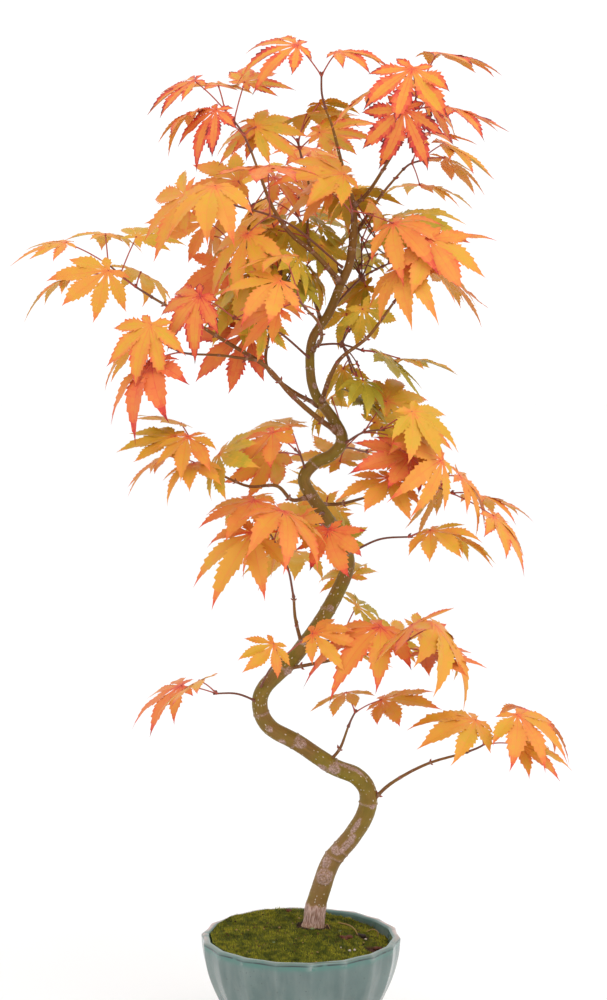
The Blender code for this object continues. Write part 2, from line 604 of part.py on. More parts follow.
def moss():
    """Soil and moss in one: it fills the pot, and its top is a low mound."""
    depth = FLUTE_DEPTH * INNER_FLUTE
    rings = []
    for height in reversed(INNER_HEIGHTS):
        rings.append(flute_ring(wall_radius(height) - WALL - GAP, max(height, FLOOR + GAP), depth))
    edge = wall_radius(MOSS_EDGE) - WALL - GAP
    level = TRUNK[0][0][2] - GAP
    for share in MOSS_RINGS:
        radius = edge * share
        fall = max(0.0, (radius - MOSS_LEVEL) / (edge - MOSS_LEVEL))
        ring = flute_ring(radius, level - (level - MOSS_EDGE) * fall ** MOSS_ROUND, 0.0)
        for i, corner in enumerate(ring):
            turns = LUMPS_ROUND * i / len(ring) + LUMPS_ACROSS * share
            corner.z -= MOSS_LUMP * (1 + math.sin(turns * math.tau)) * math.sqrt(fall)
        rings.append(ring)
    return solid("soil_and_moss", stack(rings), paint("moss", MOSS))


def build():
    for old in list(bpy.data.objects):
        bpy.data.objects.remove(old)
    pot()
    moss()
    lines, shapes = limb_shapes()
    for name, shape in shapes.items():
        solid(name, shape, paint("bark", BARK))
    tints = {row[0]: row[-2] for row in MASSES}
    for name, (twigs, stalks, blades) in grow_all(lines, shapes).items():
        mass(name, twigs, stalks, blades, tints[name])
    for made in bpy.data.objects:
        made.data.shade_smooth()
        made.data.set_sharp_from_angle(angle=SHARP)


if __name__ == "__main__":
    build()
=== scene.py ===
"""Bonsai Japanese maple in autumn leaf, in a fluted celadon bowl: its finishes and its fine shapes.

Metres, +Z up, +X to the right of the tree's front and +Y behind it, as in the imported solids. The
sections follow the plant from the bowl up: bowl, soil and moss, trunk, boughs, twigs and leaves.
"""

import math
import random

import bpy
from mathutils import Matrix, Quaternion, Vector, noise
from mathutils.bvhtree import BVHTree


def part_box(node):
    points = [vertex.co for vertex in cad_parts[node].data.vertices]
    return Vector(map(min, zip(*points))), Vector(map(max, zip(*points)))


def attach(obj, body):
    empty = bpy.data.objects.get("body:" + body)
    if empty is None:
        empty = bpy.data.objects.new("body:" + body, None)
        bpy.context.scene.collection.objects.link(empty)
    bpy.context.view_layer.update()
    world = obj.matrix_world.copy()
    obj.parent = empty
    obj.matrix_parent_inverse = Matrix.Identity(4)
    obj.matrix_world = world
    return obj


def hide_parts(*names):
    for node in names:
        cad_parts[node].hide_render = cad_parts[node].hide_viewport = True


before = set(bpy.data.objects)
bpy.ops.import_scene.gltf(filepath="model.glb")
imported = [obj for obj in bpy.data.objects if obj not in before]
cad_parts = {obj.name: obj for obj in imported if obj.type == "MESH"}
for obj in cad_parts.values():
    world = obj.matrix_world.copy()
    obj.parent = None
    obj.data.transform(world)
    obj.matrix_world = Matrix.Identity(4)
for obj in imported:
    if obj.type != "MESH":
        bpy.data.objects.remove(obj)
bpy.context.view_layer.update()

# ---------------------------------------------------------------- bowl
# A bowl thrown in stoneware, its wall pressed into eighteen shallow flutes while the clay was soft.
# It was dipped in celadon glaze and fired standing on its bare foot. The glaze runs off the lip's
# edge, where the clay shows dark, lies thin and pale on the ridges and pools in the flutes.
POT_HEIGHT = 0.080
WALL = 0.005
FLOOR = 0.008
FLUTES = 18
FLUTE_DEPTH = 0.0015  # at the rim, shallower in step with the radius
INNER_FLUTE = 0.6  # depth of the flutes inside, as a share of that outside
FLUTE_TURN = math.radians(6)  # how far the first ridge stands to the right of the front
FLUTE_ROUND = 1.6  # 2 is a flute that is a plain arc, less draws the ridges up sharper
FLUTE_STEPS = 16  # points across one flute
POT_PROFILE = (
    (0.0360, 0.0000),
    (0.0362, 0.0060),
    (0.0380, 0.0130),
    (0.0432, 0.0270),
    (0.0496, 0.0410),
    (0.0556, 0.0550),
    (0.0590, 0.0680),
    (0.0600, 0.0785),
)
RIM = POT_PROFILE[-1][0]
PROFILE_STEP = 0.0022
LIP_ROUND = 0.0016  # radius of the lip's two edges
LIP_STEPS = 5
LIP_WAVE = 0.00030  # how far the lip rises and falls by hand
FOOT_RING = 0.007  # width of the ring that the bowl stands on
FOOT_RECESS = 0.0022
BARE_FOOT = 0.0028  # height up to which the clay is left without glaze
HAND = 0.00018  # how far the thrower's hand strays from a true round
HAND_SCALE = 22  # and how often
LIP_RISE = 0.006  # how far below its edge the lip starts to rise and fall
RIDGE_POWER = 5  # how narrow the pale line along a ridge is
LAST_ROWS = (0.4, 0.65, 0.85)  # rows added below the lip, as shares of the last step
EDGE_BARE = (0.0777, 0.0783)  # heights over which the glaze runs thin below the lip
EDGE_TEAL = (0.0735, 0.0770)  # and over which it lies thick
LIP_TEAL = 0.55
# how bare and how rosy the lip is, row by row, over its outer edge and then over its inner one
LIP_ROWS = (
    (1.0, 0.0), (0.35, 0.2), (0.0, 0.6), (0.0, 0.9), (0.0, 0.9), (0.0, 0.8),
    (0.0, 0.4), (0.0, 0.0), (0.0, 0.0), (0.0, 0.0), (0.4, 0.0), (0.0, 0.0),
)
ROSE_FRONT = 0.1  # how rosy the lip is in front, as a share of that behind
FLOOR_MIDDLE = 0.020  # radius of the flat inside
GLAZE_POOLED = (0.092, 0.140, 0.132)
GLAZE_THIN = (0.128, 0.185, 0.172)
# pale glaze where it runs thin on the ridges and in drips, also the colour of the painted glints
GLAZE_PALE_AND_GLINT = (0.260, 0.300, 0.285)
GLAZE_TEAL = (0.075, 0.190, 0.160)
GLAZE_ROSE = (0.600, 0.400, 0.360)
IRON_SPECK = (0.060, 0.070, 0.060)
CLAY_EDGE = (0.028, 0.028, 0.034)
CLAY_FOOT = (0.260, 0.170, 0.110)


def curve(marks, step):
    """Points about one step apart along the smooth curve through the marks.

    A mark and a point is a vector of four numbers: its place, then the width there.
    """
    ends = [marks[0] * 2 - marks[1], *marks, marks[-1] * 2 - marks[-2]]
    line = []
    for before, start, stop, after in zip(ends, ends[1:], ends[2:], ends[3:]):
        count = max(1, round((stop.xyz - start.xyz).length / step))
        for i in range(count):
            t = i / count
            line.append(0.5 * (
                2 * start
                + (stop - before) * t
                + (2 * before - 5 * start + 4 * stop - after) * t ** 2
                + (3 * start - before - 3 * stop + after) * t ** 3
            ))
    return line + [marks[-1]]


def ramp(value, low, high):
    """0 up to low, 1 from high on, and a smooth rise between them."""
    share = min(1.0, max(0.0, (value - low) / (high - low)))
    return share * share * (3 - 2 * share)


def quads(rows, around):
    """Faces between rows of equal count, closed round each row."""
    faces = []
    for start in range(0, (rows - 1) * around, around):
        for i in range(around):
            here, beside = start + i, start + (i + 1) % around
            faces.append((here, beside, beside + around, here + around))
    return faces


def closed(rows, around):
    """The same with a face over each end, which closes the shape."""
    last = (rows - 1) * around
    ends = [tuple(reversed(range(around))), tuple(range(last, last + around))]
    return quads(rows, around) + ends


def inside_out(faces):
    return [tuple(reversed(face)) for face in faces]


def spokes(across, other, sides):
    """Unit vectors all round, from across towards other."""
    turns = [math.tau * i / sides for i in range(sides)]
    return [across * math.cos(turn) + other * math.sin(turn) for turn in turns]


def add(whole, shape, look):
    """Joins a shape to a whole of corners, faces and the number of the finish that each face takes.

    look is that number, or a list of them, one for each face.
    """
    vertices, faces, dealt = whole
    first = len(vertices)
    vertices.extend(shape[0])
    faces.extend(tuple(first + corner for corner in face) for face in shape[1])
    dealt.extend(look if isinstance(look, list) else [look] * len(shape[1]))


def piece(name, vertices, faces, finishes, dealt=None, sharp=None):
    """A smooth mesh that rides on the plant, with its finishes and which face takes which."""
    mesh = bpy.data.meshes.new(name)
    mesh.from_pydata(vertices, [], faces)
    for look in finishes:
        mesh.materials.append(look)
    if dealt:
        mesh.polygons.foreach_set("material_index", dealt)
    mesh.update()
    mesh.shade_smooth()
    if sharp:
        mesh.set_sharp_from_angle(angle=math.radians(sharp))
    made = bpy.data.objects.new(name, mesh)
    bpy.context.scene.collection.objects.link(made)
    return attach(made, "root")


def mark(made, name, values, kind="FLOAT"):
    """Writes a value at each corner point, for the finish to read."""
    attribute = made.data.attributes.new(name, kind, "POINT")
    if kind == "FLOAT":
        attribute.data.foreach_set("value", values)
    else:
        attribute.data.foreach_set("vector", [number for value in values for number in value])


def finish(name, colour, roughness=0.5, specular=0.5):
    """A new finish: its node tree and its shader."""
    material = bpy.data.materials.new(name)
    material.use_nodes = True
    shader = material.node_tree.nodes["Principled BSDF"]
    shader.inputs["Base Color"].default_value = (*colour, 1.0)
    shader.inputs["Roughness"].default_value = roughness
    shader.inputs["Specular IOR Level"].default_value = specular
    return material, material.node_tree, shader


def node(tree, kind, inputs=None, **settings):
    """A shader node, with its sockets set or linked."""
    made = tree.nodes.new(f"ShaderNode{kind}")
    for name, value in settings.items():
        setattr(made, name, value)
    for name, value in (inputs or {}).items():
        if isinstance(value, bpy.types.NodeSocket):
            tree.links.new(value, made.inputs[name])
        else:
            made.inputs[name].default_value = value
    return made


def at_points(tree, name, output="Fac"):
    """The value that mark() wrote: a number or, from the output Vector, a vector."""
    return node(tree, "Attribute", attribute_name=name).outputs[output]


def cloud(tree, scale, detail=3.0, place=None):
    """Noise from 0 to 1 in the object's own space."""
    place = place or node(tree, "TexCoord").outputs["Object"]
    return node(tree, "TexNoise", {"Vector": place, "Scale": scale, "Detail": detail}).outputs["Fac"]


def between(tree, value, low, high, first=0.0, last=1.0):
    """first where the value is low and last where it is high."""
    sockets = {"Value": value, "From Min": low, "From Max": high, "To Min": first, "To Max": last}
    return node(tree, "MapRange", sockets).outputs["Result"]


def patches(tree, scale, low, high, first=0.0, last=1.0, detail=3.0, place=None):
    """Soft patches of noise: first where it is low and last where it is high."""
    return between(tree, cloud(tree, scale, detail, place), low, high, first, last)


def stretched(tree, place, share):
    """A place with its height scaled, so that noise read there is drawn out upwards."""
    return node(tree, "Mapping", {"Vector": place, "Scale": (1.0, 1.0, share)}).outputs["Vector"]


def worked(tree, operation, one, other):
    """One step of arithmetic."""
    return node(tree, "Math", {0: one, 1: other}, operation=operation).outputs[0]


def times(tree, one, other):
    return worked(tree, "MULTIPLY", one, other)


def tinted(tree, share, under, over):
    """The colour under, covered by the colour over as far as share says."""
    made = node(tree, "Mix", {0: share}, data_type="RGBA")
    for socket, colour in ((made.inputs[6], under), (made.inputs[7], over)):
        if isinstance(colour, bpy.types.NodeSocket):
            tree.links.new(colour, socket)
        else:
            socket.default_value = (*colour, 1.0)
    return made.outputs[2]


def relief(tree, shader, height, distance, strength=1.0):
    """Raises the surface where height is 1."""
    bump = node(tree, "Bump", {"Height": height, "Distance": distance, "Strength": strength})
    tree.links.new(bump.outputs["Normal"], shader.inputs["Normal"])


def glaze_finish():
    """Celadon over stoneware: deep in flutes, thin on ridges, dark clay and painted glints along the lip."""
    material, tree, shader = finish("celadon_glaze", GLAZE_POOLED, roughness=0.16)

    def cover(body, colour, name, *patchy):
        return tinted(tree, times(tree, at_points(tree, name), patches(tree, *patchy)), body, colour)

    body = tinted(tree, patches(tree, 32.0, 0.35, 0.7), GLAZE_POOLED, GLAZE_THIN)
    drips = stretched(tree, node(tree, "TexCoord").outputs["Object"], 0.25)
    body = tinted(tree, patches(tree, 110.0, 0.45, 0.75, 0.0, 0.35, place=drips), body, GLAZE_PALE_AND_GLINT)
    body = cover(body, GLAZE_PALE_AND_GLINT, "ridge", 120.0, 0.2, 0.7, 0.1, 0.4)
    specks = patches(tree, 900.0, 0.79, 0.82, detail=0.0)
    body = tinted(tree, times(tree, specks, 0.5), body, IRON_SPECK)
    body = cover(body, GLAZE_TEAL, "teal", 90.0, 0.25, 0.6, 0.5, 1.0)
    body = cover(body, GLAZE_ROSE, "rosy", 150.0, 0.30, 0.55)
    # painted highlights: pale glints on the ridges in the teal band below the lip and on the lip itself
    painted_glints = times(tree, at_points(tree, "ridge"), patches(tree, 130.0, 0.5, 0.6))
    body = tinted(tree, times(tree, painted_glints, at_points(tree, "teal")), body, GLAZE_PALE_AND_GLINT)
    body = cover(body, CLAY_EDGE, "edge", 110.0, 0.30, 0.42)
    bare = at_points(tree, "bare")
    body = tinted(tree, bare, body, CLAY_FOOT)
    tree.links.new(body, shader.inputs["Base Color"])
    gloss = patches(tree, 70.0, 0.3, 0.7, 0.10, 0.22)
    tree.links.new(worked(tree, "MAXIMUM", gloss, bare), shader.inputs["Roughness"])
    relief(tree, shader, cloud(tree, 170.0, 2.0), 0.00012)
    return material


def bowl_section():
    """The bowl cut in half, row by row.

    A row is its radius, its height, how deep its flutes are, and how bare, rosy and teal its glaze is.
    """
    wall = curve([Vector((radius, 0, height, 0)) for radius, height in POT_PROFILE], PROFILE_STEP)
    wall[-1:-1] = [wall[-2].lerp(wall[-1], share) for share in LAST_ROWS]
    inner_foot = POT_PROFILE[0][0] - FOOT_RING
    unglazed = (0.0, 0.0, 0.0, 0.0)
    section = [(inner_foot - 0.002, FOOT_RECESS, *unglazed), (inner_foot, 0.0, *unglazed)]
    for point in wall:
        bare, teal = ramp(point.z, *EDGE_BARE), ramp(point.z, *EDGE_TEAL)
        section.append((point.x, point.z, FLUTE_DEPTH, bare, 0.0, teal))
    for row, (bare, rosy) in enumerate(LIP_ROWS):
        inner, i = divmod(row, LIP_STEPS + 1)
        centre = RIM - WALL + LIP_ROUND if inner else RIM - LIP_ROUND
        depth = FLUTE_DEPTH * (INNER_FLUTE if inner else 1.0)
        angle = math.pi / 2 * (i / LIP_STEPS + inner)
        radius = centre + LIP_ROUND * math.cos(angle)
        height = POT_HEIGHT - LIP_ROUND * (1 - math.sin(angle))
        section.append((radius, height, depth, bare, rosy, LIP_TEAL))
    for point in reversed(wall):
        if FLOOR < point.z < POT_HEIGHT - 2 * LIP_ROUND:
            section.append((point.x - WALL, point.z, FLUTE_DEPTH * INNER_FLUTE, 0.0, 0.0, 0.0))
    return section + [(FLOOR_MIDDLE, FLOOR, *unglazed)]


def bowl():
    around = FLUTES * FLUTE_STEPS
    section = bowl_section()
    vertices = []
    marks = {name: [] for name in ("ridge", "edge", "rosy", "teal", "bare")}
    for radius, height, depth, thin, rosy, teal in section:
        for i in range(around):
            angle = FLUTE_TURN - math.pi / 2 + math.tau * i / around
            across = abs(2 * (i % FLUTE_STEPS) / FLUTE_STEPS - 1)
            hollow = 1 - across ** FLUTE_ROUND
            reach = radius - depth * radius / RIM * hollow
            spot = Vector((reach * math.cos(angle), reach * math.sin(angle), height))
            stray = noise.noise(spot * HAND_SCALE) * HAND * ramp(height, 0.0, 0.02)
            spot.x *= 1 - abs(stray) / RIM
            spot.y *= 1 - abs(stray) / RIM
            rise = ramp(height, POT_HEIGHT - LIP_RISE, POT_HEIGHT)
            wave = noise.noise(Vector((math.cos(angle) * 3, math.sin(angle) * 3, 5)))
            spot.z -= rise * LIP_WAVE * (1 + wave)
            vertices.append(spot)
            marks["ridge"].append(across ** RIDGE_POWER)
            marks["edge"].append(thin * (0.5 + 0.5 * hollow))
            behind = ramp(math.sin(angle), -0.5, 0.3)
            marks["rosy"].append(rosy * (ROSE_FRONT + (1 - ROSE_FRONT) * behind))
            marks["teal"].append(teal)
            ragged = height + 0.0006 * noise.noise(spot * 90)
            marks["bare"].append(1 - ramp(ragged, BARE_FOOT - 0.0004, BARE_FOOT))
    faces = closed(len(section), around)
    made = piece("bowl", vertices, faces, [glaze_finish()], sharp=60)
    for name, values in marks.items():
        mark(made, name, values)
    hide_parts("pot")


bowl()

# ---------------------------------------------------------------- soil and moss
# Dark potting soil fills the bowl, and a living cushion of moss has grown over it up to the trunk's
# foot. It stands highest at the left and the back, is thin at the right, where soil shows, and has
# a few scraps of old leaf, thin dead roots and small stones caught in it.
MOSS_EDGE = 0.0768  # height of the moss at the wall, on average
MOSS_TOP = 0.0811
MOSS_LEVEL = 0.0156  # radius of the level middle that the trunk stands on
MOSS_TILT = 0.0042  # how much higher it stands at the wall at the left and the back
MOSS_TILT_WAY = math.radians(155)
MOSS_SAG = 0.0012  # how much lower it is at both sides than in front and behind
MOSS_REACH = 0.0535
MOSS_UNDERSIDE = ((1.0, 0.004, 0.060), (0.62, 0.0, FLOOR + 0.002))  # share of the wall, gap to it, height
MOSS_ROWS = 84
MOSS_AROUND = 168
TUFTS = 15000
TUFT_HEIGHT = (0.0009, 0.0021)
TUFT_WIDTH = 0.00022
TUFT_LEAN = 0.35
TUFT_SHADES = 0.85  # how far neighbours differ in shade
TRUNK_FOOT = Vector((0.0074, 0.0100))
SOIL_COLLAR = 0.0014  # how far the soil rises to the trunk
SOIL_COLLAR_REACH = (0.0085, 0.015)  # from the trunk's middle, over which that runs out
SOIL_SINK = 0.0007  # how much lower bare soil lies
MOSS_MOST = POT_HEIGHT + 0.0026
WALL_ROOM = 0.0005  # between moss and bowl
FOOT_BARE = 0.0108  # radius round the trunk where no moss grows
BARE_PATCHES = ((0.0265, -0.003, 0.0045), (0.037, 0.010, 0.0055), (0.044, -0.010, 0.006))  # x, y, radius
# dead roots that lie on the moss: their points and width
ROOTS_ON_MOSS = (
    (((0.023, 0.026, 0.0006), (0.029, 0.023, 0.0018), (0.0325, 0.015, 0.0016), (0.035, 0.007, 0.0004)),
     0.0009),
    (((0.040, 0.022, 0.0006), (0.044, 0.023, 0.0022), (0.047, 0.019, 0.0024), (0.0465, 0.014, 0.0004)),
     0.0006),
    (((0.0145, 0.0080, 0.0004), (0.0160, 0.0070, 0.0026), (0.0178, 0.0055, 0.0002)), 0.0007),
)
# scraps on the moss: x, y, size, flatness, and which finish
SCRAPS = (
    (0.0275, -0.004, 0.0026, 0.45, 1),
    (0.0255, -0.002, 0.0022, 0.40, 1),
    (0.0370, 0.008, 0.0024, 0.50, 2),
    (0.0390, 0.004, 0.0011, 0.70, 3),
    (0.0290, -0.021, 0.0010, 0.80, 3),
    (0.0320, -0.019, 0.0008, 0.80, 3),
    (0.0240, -0.020, 0.0007, 0.80, 3),
    (0.0240, 0.006, 0.0019, 0.35, 4),
    (0.0070, 0.002, 0.0017, 0.35, 4),
    (-0.016, -0.020, 0.0014, 0.35, 4),
    (-0.008, 0.047, 0.0022, 0.45, 1),
    (0.0460, -0.008, 0.0022, 0.50, 1),
)
CRUMBS = 150
CRUMB_SIZE = (0.0003, 0.0008)
FOOT_CRUMBS = 0.25  # share of them that lie round the trunk, and how far from its middle
FOOT_CRUMB_REACH = 0.0098
LUMP_ROWS = 5
LUMP_SIDES = 8
# finish and colour of what lies on the moss, in the order that SCRAPS counts them
LITTER = (
    ("dead_root", (0.36, 0.22, 0.09)),
    ("leaf_scrap", (0.11, 0.034, 0.018)),
    ("soil_crumb", (0.030, 0.016, 0.012)),
    ("pebble", (0.60, 0.50, 0.44)),
    ("lichen", (0.20, 0.27, 0.12)),
)
TORN = (1, 2)  # those that lie in bits, three to a scrap
MOSS_COLOURS = (
    (0.026, 0.036, 0.003),
    (0.078, 0.092, 0.005),
    (0.165, 0.168, 0.008),
    (0.330, 0.300, 0.020),
    (0.190, 0.100, 0.022),
)
DRY_SHOOTS = 0.035  # share of shoots of the last colour, which is dry


def wall_inside(angle):
    """How far out the moss may reach at an angle, just clear of the bowl's flutes."""
    turn = (angle + math.pi / 2 - FLUTE_TURN) % math.tau * FLUTES / math.tau
    hollow = 1 - abs(2 * (turn % 1) - 1) ** FLUTE_ROUND
    return RIM - WALL - FLUTE_DEPTH * INNER_FLUTE * hollow - WALL_ROOM


def from_trunk(x, y):
    """How far a place lies from the middle of the trunk's foot."""
    return math.hypot(x - TRUNK_FOOT.x, y - TRUNK_FOOT.y)


def moss_height(x, y):
    """Height of the moss over a place, with its clumps."""
    radius = math.hypot(x, y)
    angle = math.atan2(y, x)
    edge = MOSS_EDGE + MOSS_TILT * math.cos(angle - MOSS_TILT_WAY) - MOSS_SAG * math.cos(2 * angle)
    height = MOSS_TOP + (edge - MOSS_TOP) * ramp(radius, MOSS_LEVEL, MOSS_REACH)
    height += SOIL_COLLAR * (1 - ramp(from_trunk(x, y), *SOIL_COLLAR_REACH))
    spot = Vector((x, y, 0.0))
    clump = 1 - noise.voronoi(spot * 150)[0][0] * 1.4
    height += 0.0011 * noise.noise(spot * 75) + 0.0006 * noise.noise(spot * 260) + 0.0006 * clump
    height -= SOIL_SINK * soil_share(x, y)
    return min(height, MOSS_MOST)


def soil_share(x, y):
    """1 where the soil is bare, 0 where the moss covers it."""
    ragged = 0.0022 * noise.noise(Vector((x * 210, y * 210, 3.0)))
    share = 1 - ramp(from_trunk(x, y) + ragged, FOOT_BARE - 0.002, FOOT_BARE)
    for patch_x, patch_y, radius in BARE_PATCHES:
        far = math.hypot(x - patch_x, y - patch_y) + 2 * ragged
        share = max(share, 1 - ramp(far, radius - 0.003, radius))
    return share


def mound_finish():
    material, tree, shader = finish("moss_bed", (0.05, 0.075, 0.012), roughness=0.95, specular=0.2)
    clumps = patches(tree, 240.0, 0.3, 0.65, detail=5.0)
    green = tinted(tree, clumps, (0.022, 0.030, 0.003), (0.120, 0.125, 0.008))
    crumbs = patches(tree, 700.0, 0.35, 0.7, detail=4.0)
    soil = tinted(tree, crumbs, (0.020, 0.008, 0.006), (0.095, 0.038, 0.022))
    colour = tinted(tree, at_points(tree, "soil"), green, soil)
    tree.links.new(colour, shader.inputs["Base Color"])
    relief(tree, shader, cloud(tree, 1400.0, 4.0), 0.0006)
    return material


def mound():
    vertices, soil = [], []
    for row in range(1, MOSS_ROWS + 1):
        for i in range(MOSS_AROUND):
            angle = math.tau * i / MOSS_AROUND
            radius = wall_inside(angle) * row / MOSS_ROWS
            x, y = radius * math.cos(angle), radius * math.sin(angle)
            vertices.append((x, y, moss_height(x, y)))
            soil.append(soil_share(x, y))
    for share, gap, height in MOSS_UNDERSIDE:
        for i in range(MOSS_AROUND):
            angle = math.tau * i / MOSS_AROUND
            radius = wall_inside(angle) * share - gap
            vertices.append((radius * math.cos(angle), radius * math.sin(angle), height))
            soil.append(1.0)
    faces = inside_out(closed(MOSS_ROWS + 2, MOSS_AROUND))
    made = piece("moss_bed", vertices, faces, [mound_finish()])
    mark(made, "soil", soil)
    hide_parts("soil_and_moss")


def plain_finish(name, colour, roughness=0.6, specular=0.4, grain=900.0, depth=0.0001):
    """One plain colour under a fine relief and an uneven gloss."""
    material, tree, shader = finish(name, colour, roughness, specular)
    grains = cloud(tree, grain, 2.0)
    gloss = between(tree, grains, 0.3, 0.7, roughness - 0.08, roughness + 0.08)
    tree.links.new(gloss, shader.inputs["Roughness"])
    relief(tree, shader, grains, depth)
    return material


def tufts():
    """Short upright shoots of moss, each a spike of three sides with its root in the bed."""
    rng = random.Random(11)
    finishes = [plain_finish(f"moss_{number}", green, 0.85, 0.2) for number, green in enumerate(MOSS_COLOURS)]
    dry = len(MOSS_COLOURS) - 1
    vertices, faces, dealt = [], [], []
    while len(vertices) < TUFTS * 4:
        angle, radius = rng.uniform(0, math.tau), math.sqrt(rng.random())
        lean = Vector((rng.gauss(0, TUFT_LEAN), rng.gauss(0, TUFT_LEAN), 1.0)).normalized()
        tall, shade = rng.uniform(*TUFT_HEIGHT), rng.gauss(0, TUFT_SHADES)
        reach = radius * (wall_inside(angle) - 0.0003)
        x, y = reach * math.cos(angle), reach * math.sin(angle)
        if rng.random() < soil_share(x, y) * 1.15:
            continue
        foot = Vector((x, y, moss_height(x, y) - 0.0003))
        first = len(vertices)
        for i in range(3):
            turn = angle * 7 + math.tau * i / 3
            vertices.append(foot + Vector((math.cos(turn), math.sin(turn), 0)) * TUFT_WIDTH)
        vertices.append(foot + lean * tall)
        faces += [(first + i, first + (i + 1) % 3, first + 3) for i in range(3)]
        wide, narrow = Vector((x * 70, y * 70, 1)), Vector((x * 240, y * 240, 1))
        patch = 1.7 + 2.2 * noise.noise(wide) + 2.4 * noise.noise(narrow)
        edge = 0.7 * ramp(radius, 0.75, 1.0)
        green = min(dry - 1, max(0, round(patch + shade * 0.7 + edge)))
        dealt += [green if rng.random() > DRY_SHOOTS else dry] * 3
    made = piece("moss_shoots", vertices, faces, finishes, dealt)
    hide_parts("soil_and_moss")


def strand(points, width, sides=6):
    """A thin tube along a few points, for a dead root."""
    line = curve([Vector((*point, width)) for point in points], 0.0008)
    vertices = []
    for index, point in enumerate(line):
        before, after = line[max(0, index - 1)], line[min(len(line) - 1, index + 1)]
        way = (after.xyz - before.xyz).normalized()
        across = way.cross(Vector((0.0, 0.3, 1.0))).normalized()
        other = way.cross(across)
        taper = 1 - 0.5 * index / len(line)
        vertices += [point.xyz + side * point.w / 2 * taper for side in spokes(across, other, sides)]
    return vertices, closed(len(line), sides)


def lump(rng, middle, size, flat):
    """A small rough stone, crumb or scrap: a ball knocked out of shape."""
    vertices = []
    for row in range(1, LUMP_ROWS + 1):
        rise = math.pi * row / (LUMP_ROWS + 1)
        for i in range(LUMP_SIDES):
            angle = math.tau * i / LUMP_SIDES
            reach = size * rng.uniform(0.8, 1.2)
            vertices.append(middle + Vector((
                reach * math.sin(rise) * math.cos(angle),
                reach * math.sin(rise) * math.sin(angle),
                reach * flat * math.cos(rise))))
    return vertices, inside_out(closed(LUMP_ROWS, LUMP_SIDES))


def litter():
    rng = random.Random(23)
    finishes = [plain_finish(name, colour, 0.8, 0.2) for name, colour in LITTER]
    whole = vertices, faces, dealt = [], [], []

    def on_moss(x, y, lift=0.0):
        return (x, y, moss_height(x, y) + lift)

    for points, width in ROOTS_ON_MOSS:
        add(whole, strand([on_moss(*point) for point in points], width), 0)
    for x, y, size, flat, look in SCRAPS:
        for _ in range(3 if look in TORN else 1):
            shift = size * 0.8 * (look in TORN)
            place = on_moss(x + rng.uniform(-shift, shift), y + rng.uniform(-shift, shift), size * flat * 0.5)
            add(whole, lump(rng, Vector(place), size * rng.uniform(0.6, 1.0), flat), look)
    for _ in range(CRUMBS):
        angle, reach = rng.uniform(0, math.tau), math.sqrt(rng.random()) * (MOSS_REACH - 0.004)
        x, y = reach * math.cos(angle), reach * math.sin(angle)
        near_foot = rng.random() < FOOT_CRUMBS
        if near_foot:
            x = TRUNK_FOOT.x + FOOT_CRUMB_REACH * math.cos(angle)
            y = TRUNK_FOOT.y + FOOT_CRUMB_REACH * math.sin(angle)
        size = rng.uniform(*CRUMB_SIZE)
        crumb = lump(rng, Vector(on_moss(x, y, size * 0.4)), size, 0.7)
        add(whole, crumb, 2 if near_foot else rng.choice((1, 1, 0, 2)))
    made = piece("moss_litter", vertices, faces, finishes, dealt)
    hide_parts("soil_and_moss")


mound()
tufts()
litter()

# ---------------------------------------------------------------- trunk
# One living stem of a maple, wired to a serpentine line when it was young and since grown rigid.
# Its bark is smooth, olive green and brown, with pale pores, pale rings where leaves once stood and
# wrinkled scars where shoots were cut off. The lowest bark is older, pinkish grey and streaked.

# (centre of the trunk, its width), from the ground to the tip
TRUNK = (
    ((0.0074, 0.0100, 0.0814), 0.0156),
    ((0.0081, 0.0099, 0.0862), 0.0134),
    ((0.0092, 0.0095, 0.0946), 0.0122),
    ((0.0116, 0.0090, 0.1034), 0.0119),
    ((0.0182, 0.0070, 0.1226), 0.0115),
    ((0.0308, 0.0050, 0.1391), 0.0111),
    ((0.0391, 0.0030, 0.1544), 0.0109),
    ((0.0399, 0.0010, 0.1677), 0.0106),
    ((0.0330, -0.0010, 0.1774), 0.0104),
    ((0.0192, -0.0030, 0.1839), 0.0101),
    ((-0.0016, -0.0060, 0.1986), 0.0099),
    ((-0.0181, -0.0080, 0.2087), 0.0096),
    ((-0.0240, -0.0090, 0.2210), 0.0093),
    ((-0.0210, -0.0080, 0.2328), 0.0092),
    ((-0.0063, -0.0050, 0.2472), 0.0090),
    ((0.0109, 0.0000, 0.2691), 0.0089),
    ((0.0227, 0.0050, 0.2892), 0.0085),
    ((0.0279, 0.0080, 0.3037), 0.0083),
    ((0.0239, 0.0080, 0.3187), 0.0080),
    ((0.0114, 0.0040, 0.3378), 0.0076),
    ((0.0020, -0.0010, 0.3545), 0.0073),
    ((0.0078, -0.0040, 0.3649), 0.0072),
    ((0.0189, -0.0060, 0.3710), 0.0071),
    ((0.0242, -0.0060, 0.3799), 0.0070),
    ((0.0189, -0.0040, 0.3914), 0.0065),
    ((0.0084, -0.0010, 0.4063), 0.0056),
    ((0.0055, 0.0010, 0.4220), 0.0054),
    ((0.0072, 0.0010, 0.4384), 0.0052),
    ((0.0160, 0.0010, 0.4518), 0.0052),
    ((0.0230, 0.0020, 0.4686), 0.0051),
    ((0.0288, 0.0030, 0.4825), 0.0049),
    ((0.0311, 0.0040, 0.5016), 0.0042),
    ((0.0304, 0.0040, 0.5166), 0.0032),
    ((0.0257, 0.0020, 0.5322), 0.0023),
    ((0.0187, 0.0000, 0.5592), 0.0015),
    ((0.0147, -0.0010, 0.5701), 0.0012),
)
TRUNK_BENDS = (7, 12, 17, 20, 23, 26)  # the points of TRUNK where it turns back on itself
FINE_STEP = 0.0004  # between the points that a limb is worked out from
BARK_STEP = 0.0006  # between the rings of the bark's mesh
BARK_SIDES = 44
RING_RISE = 0.00034
RING_WIDTH = 0.0006
RING_SIGHT = 0.003  # how far from its middle a ring still shows
RING_TILT = 0.0012
RING_FULL = 0.009  # width of the trunk from which its rings are whole
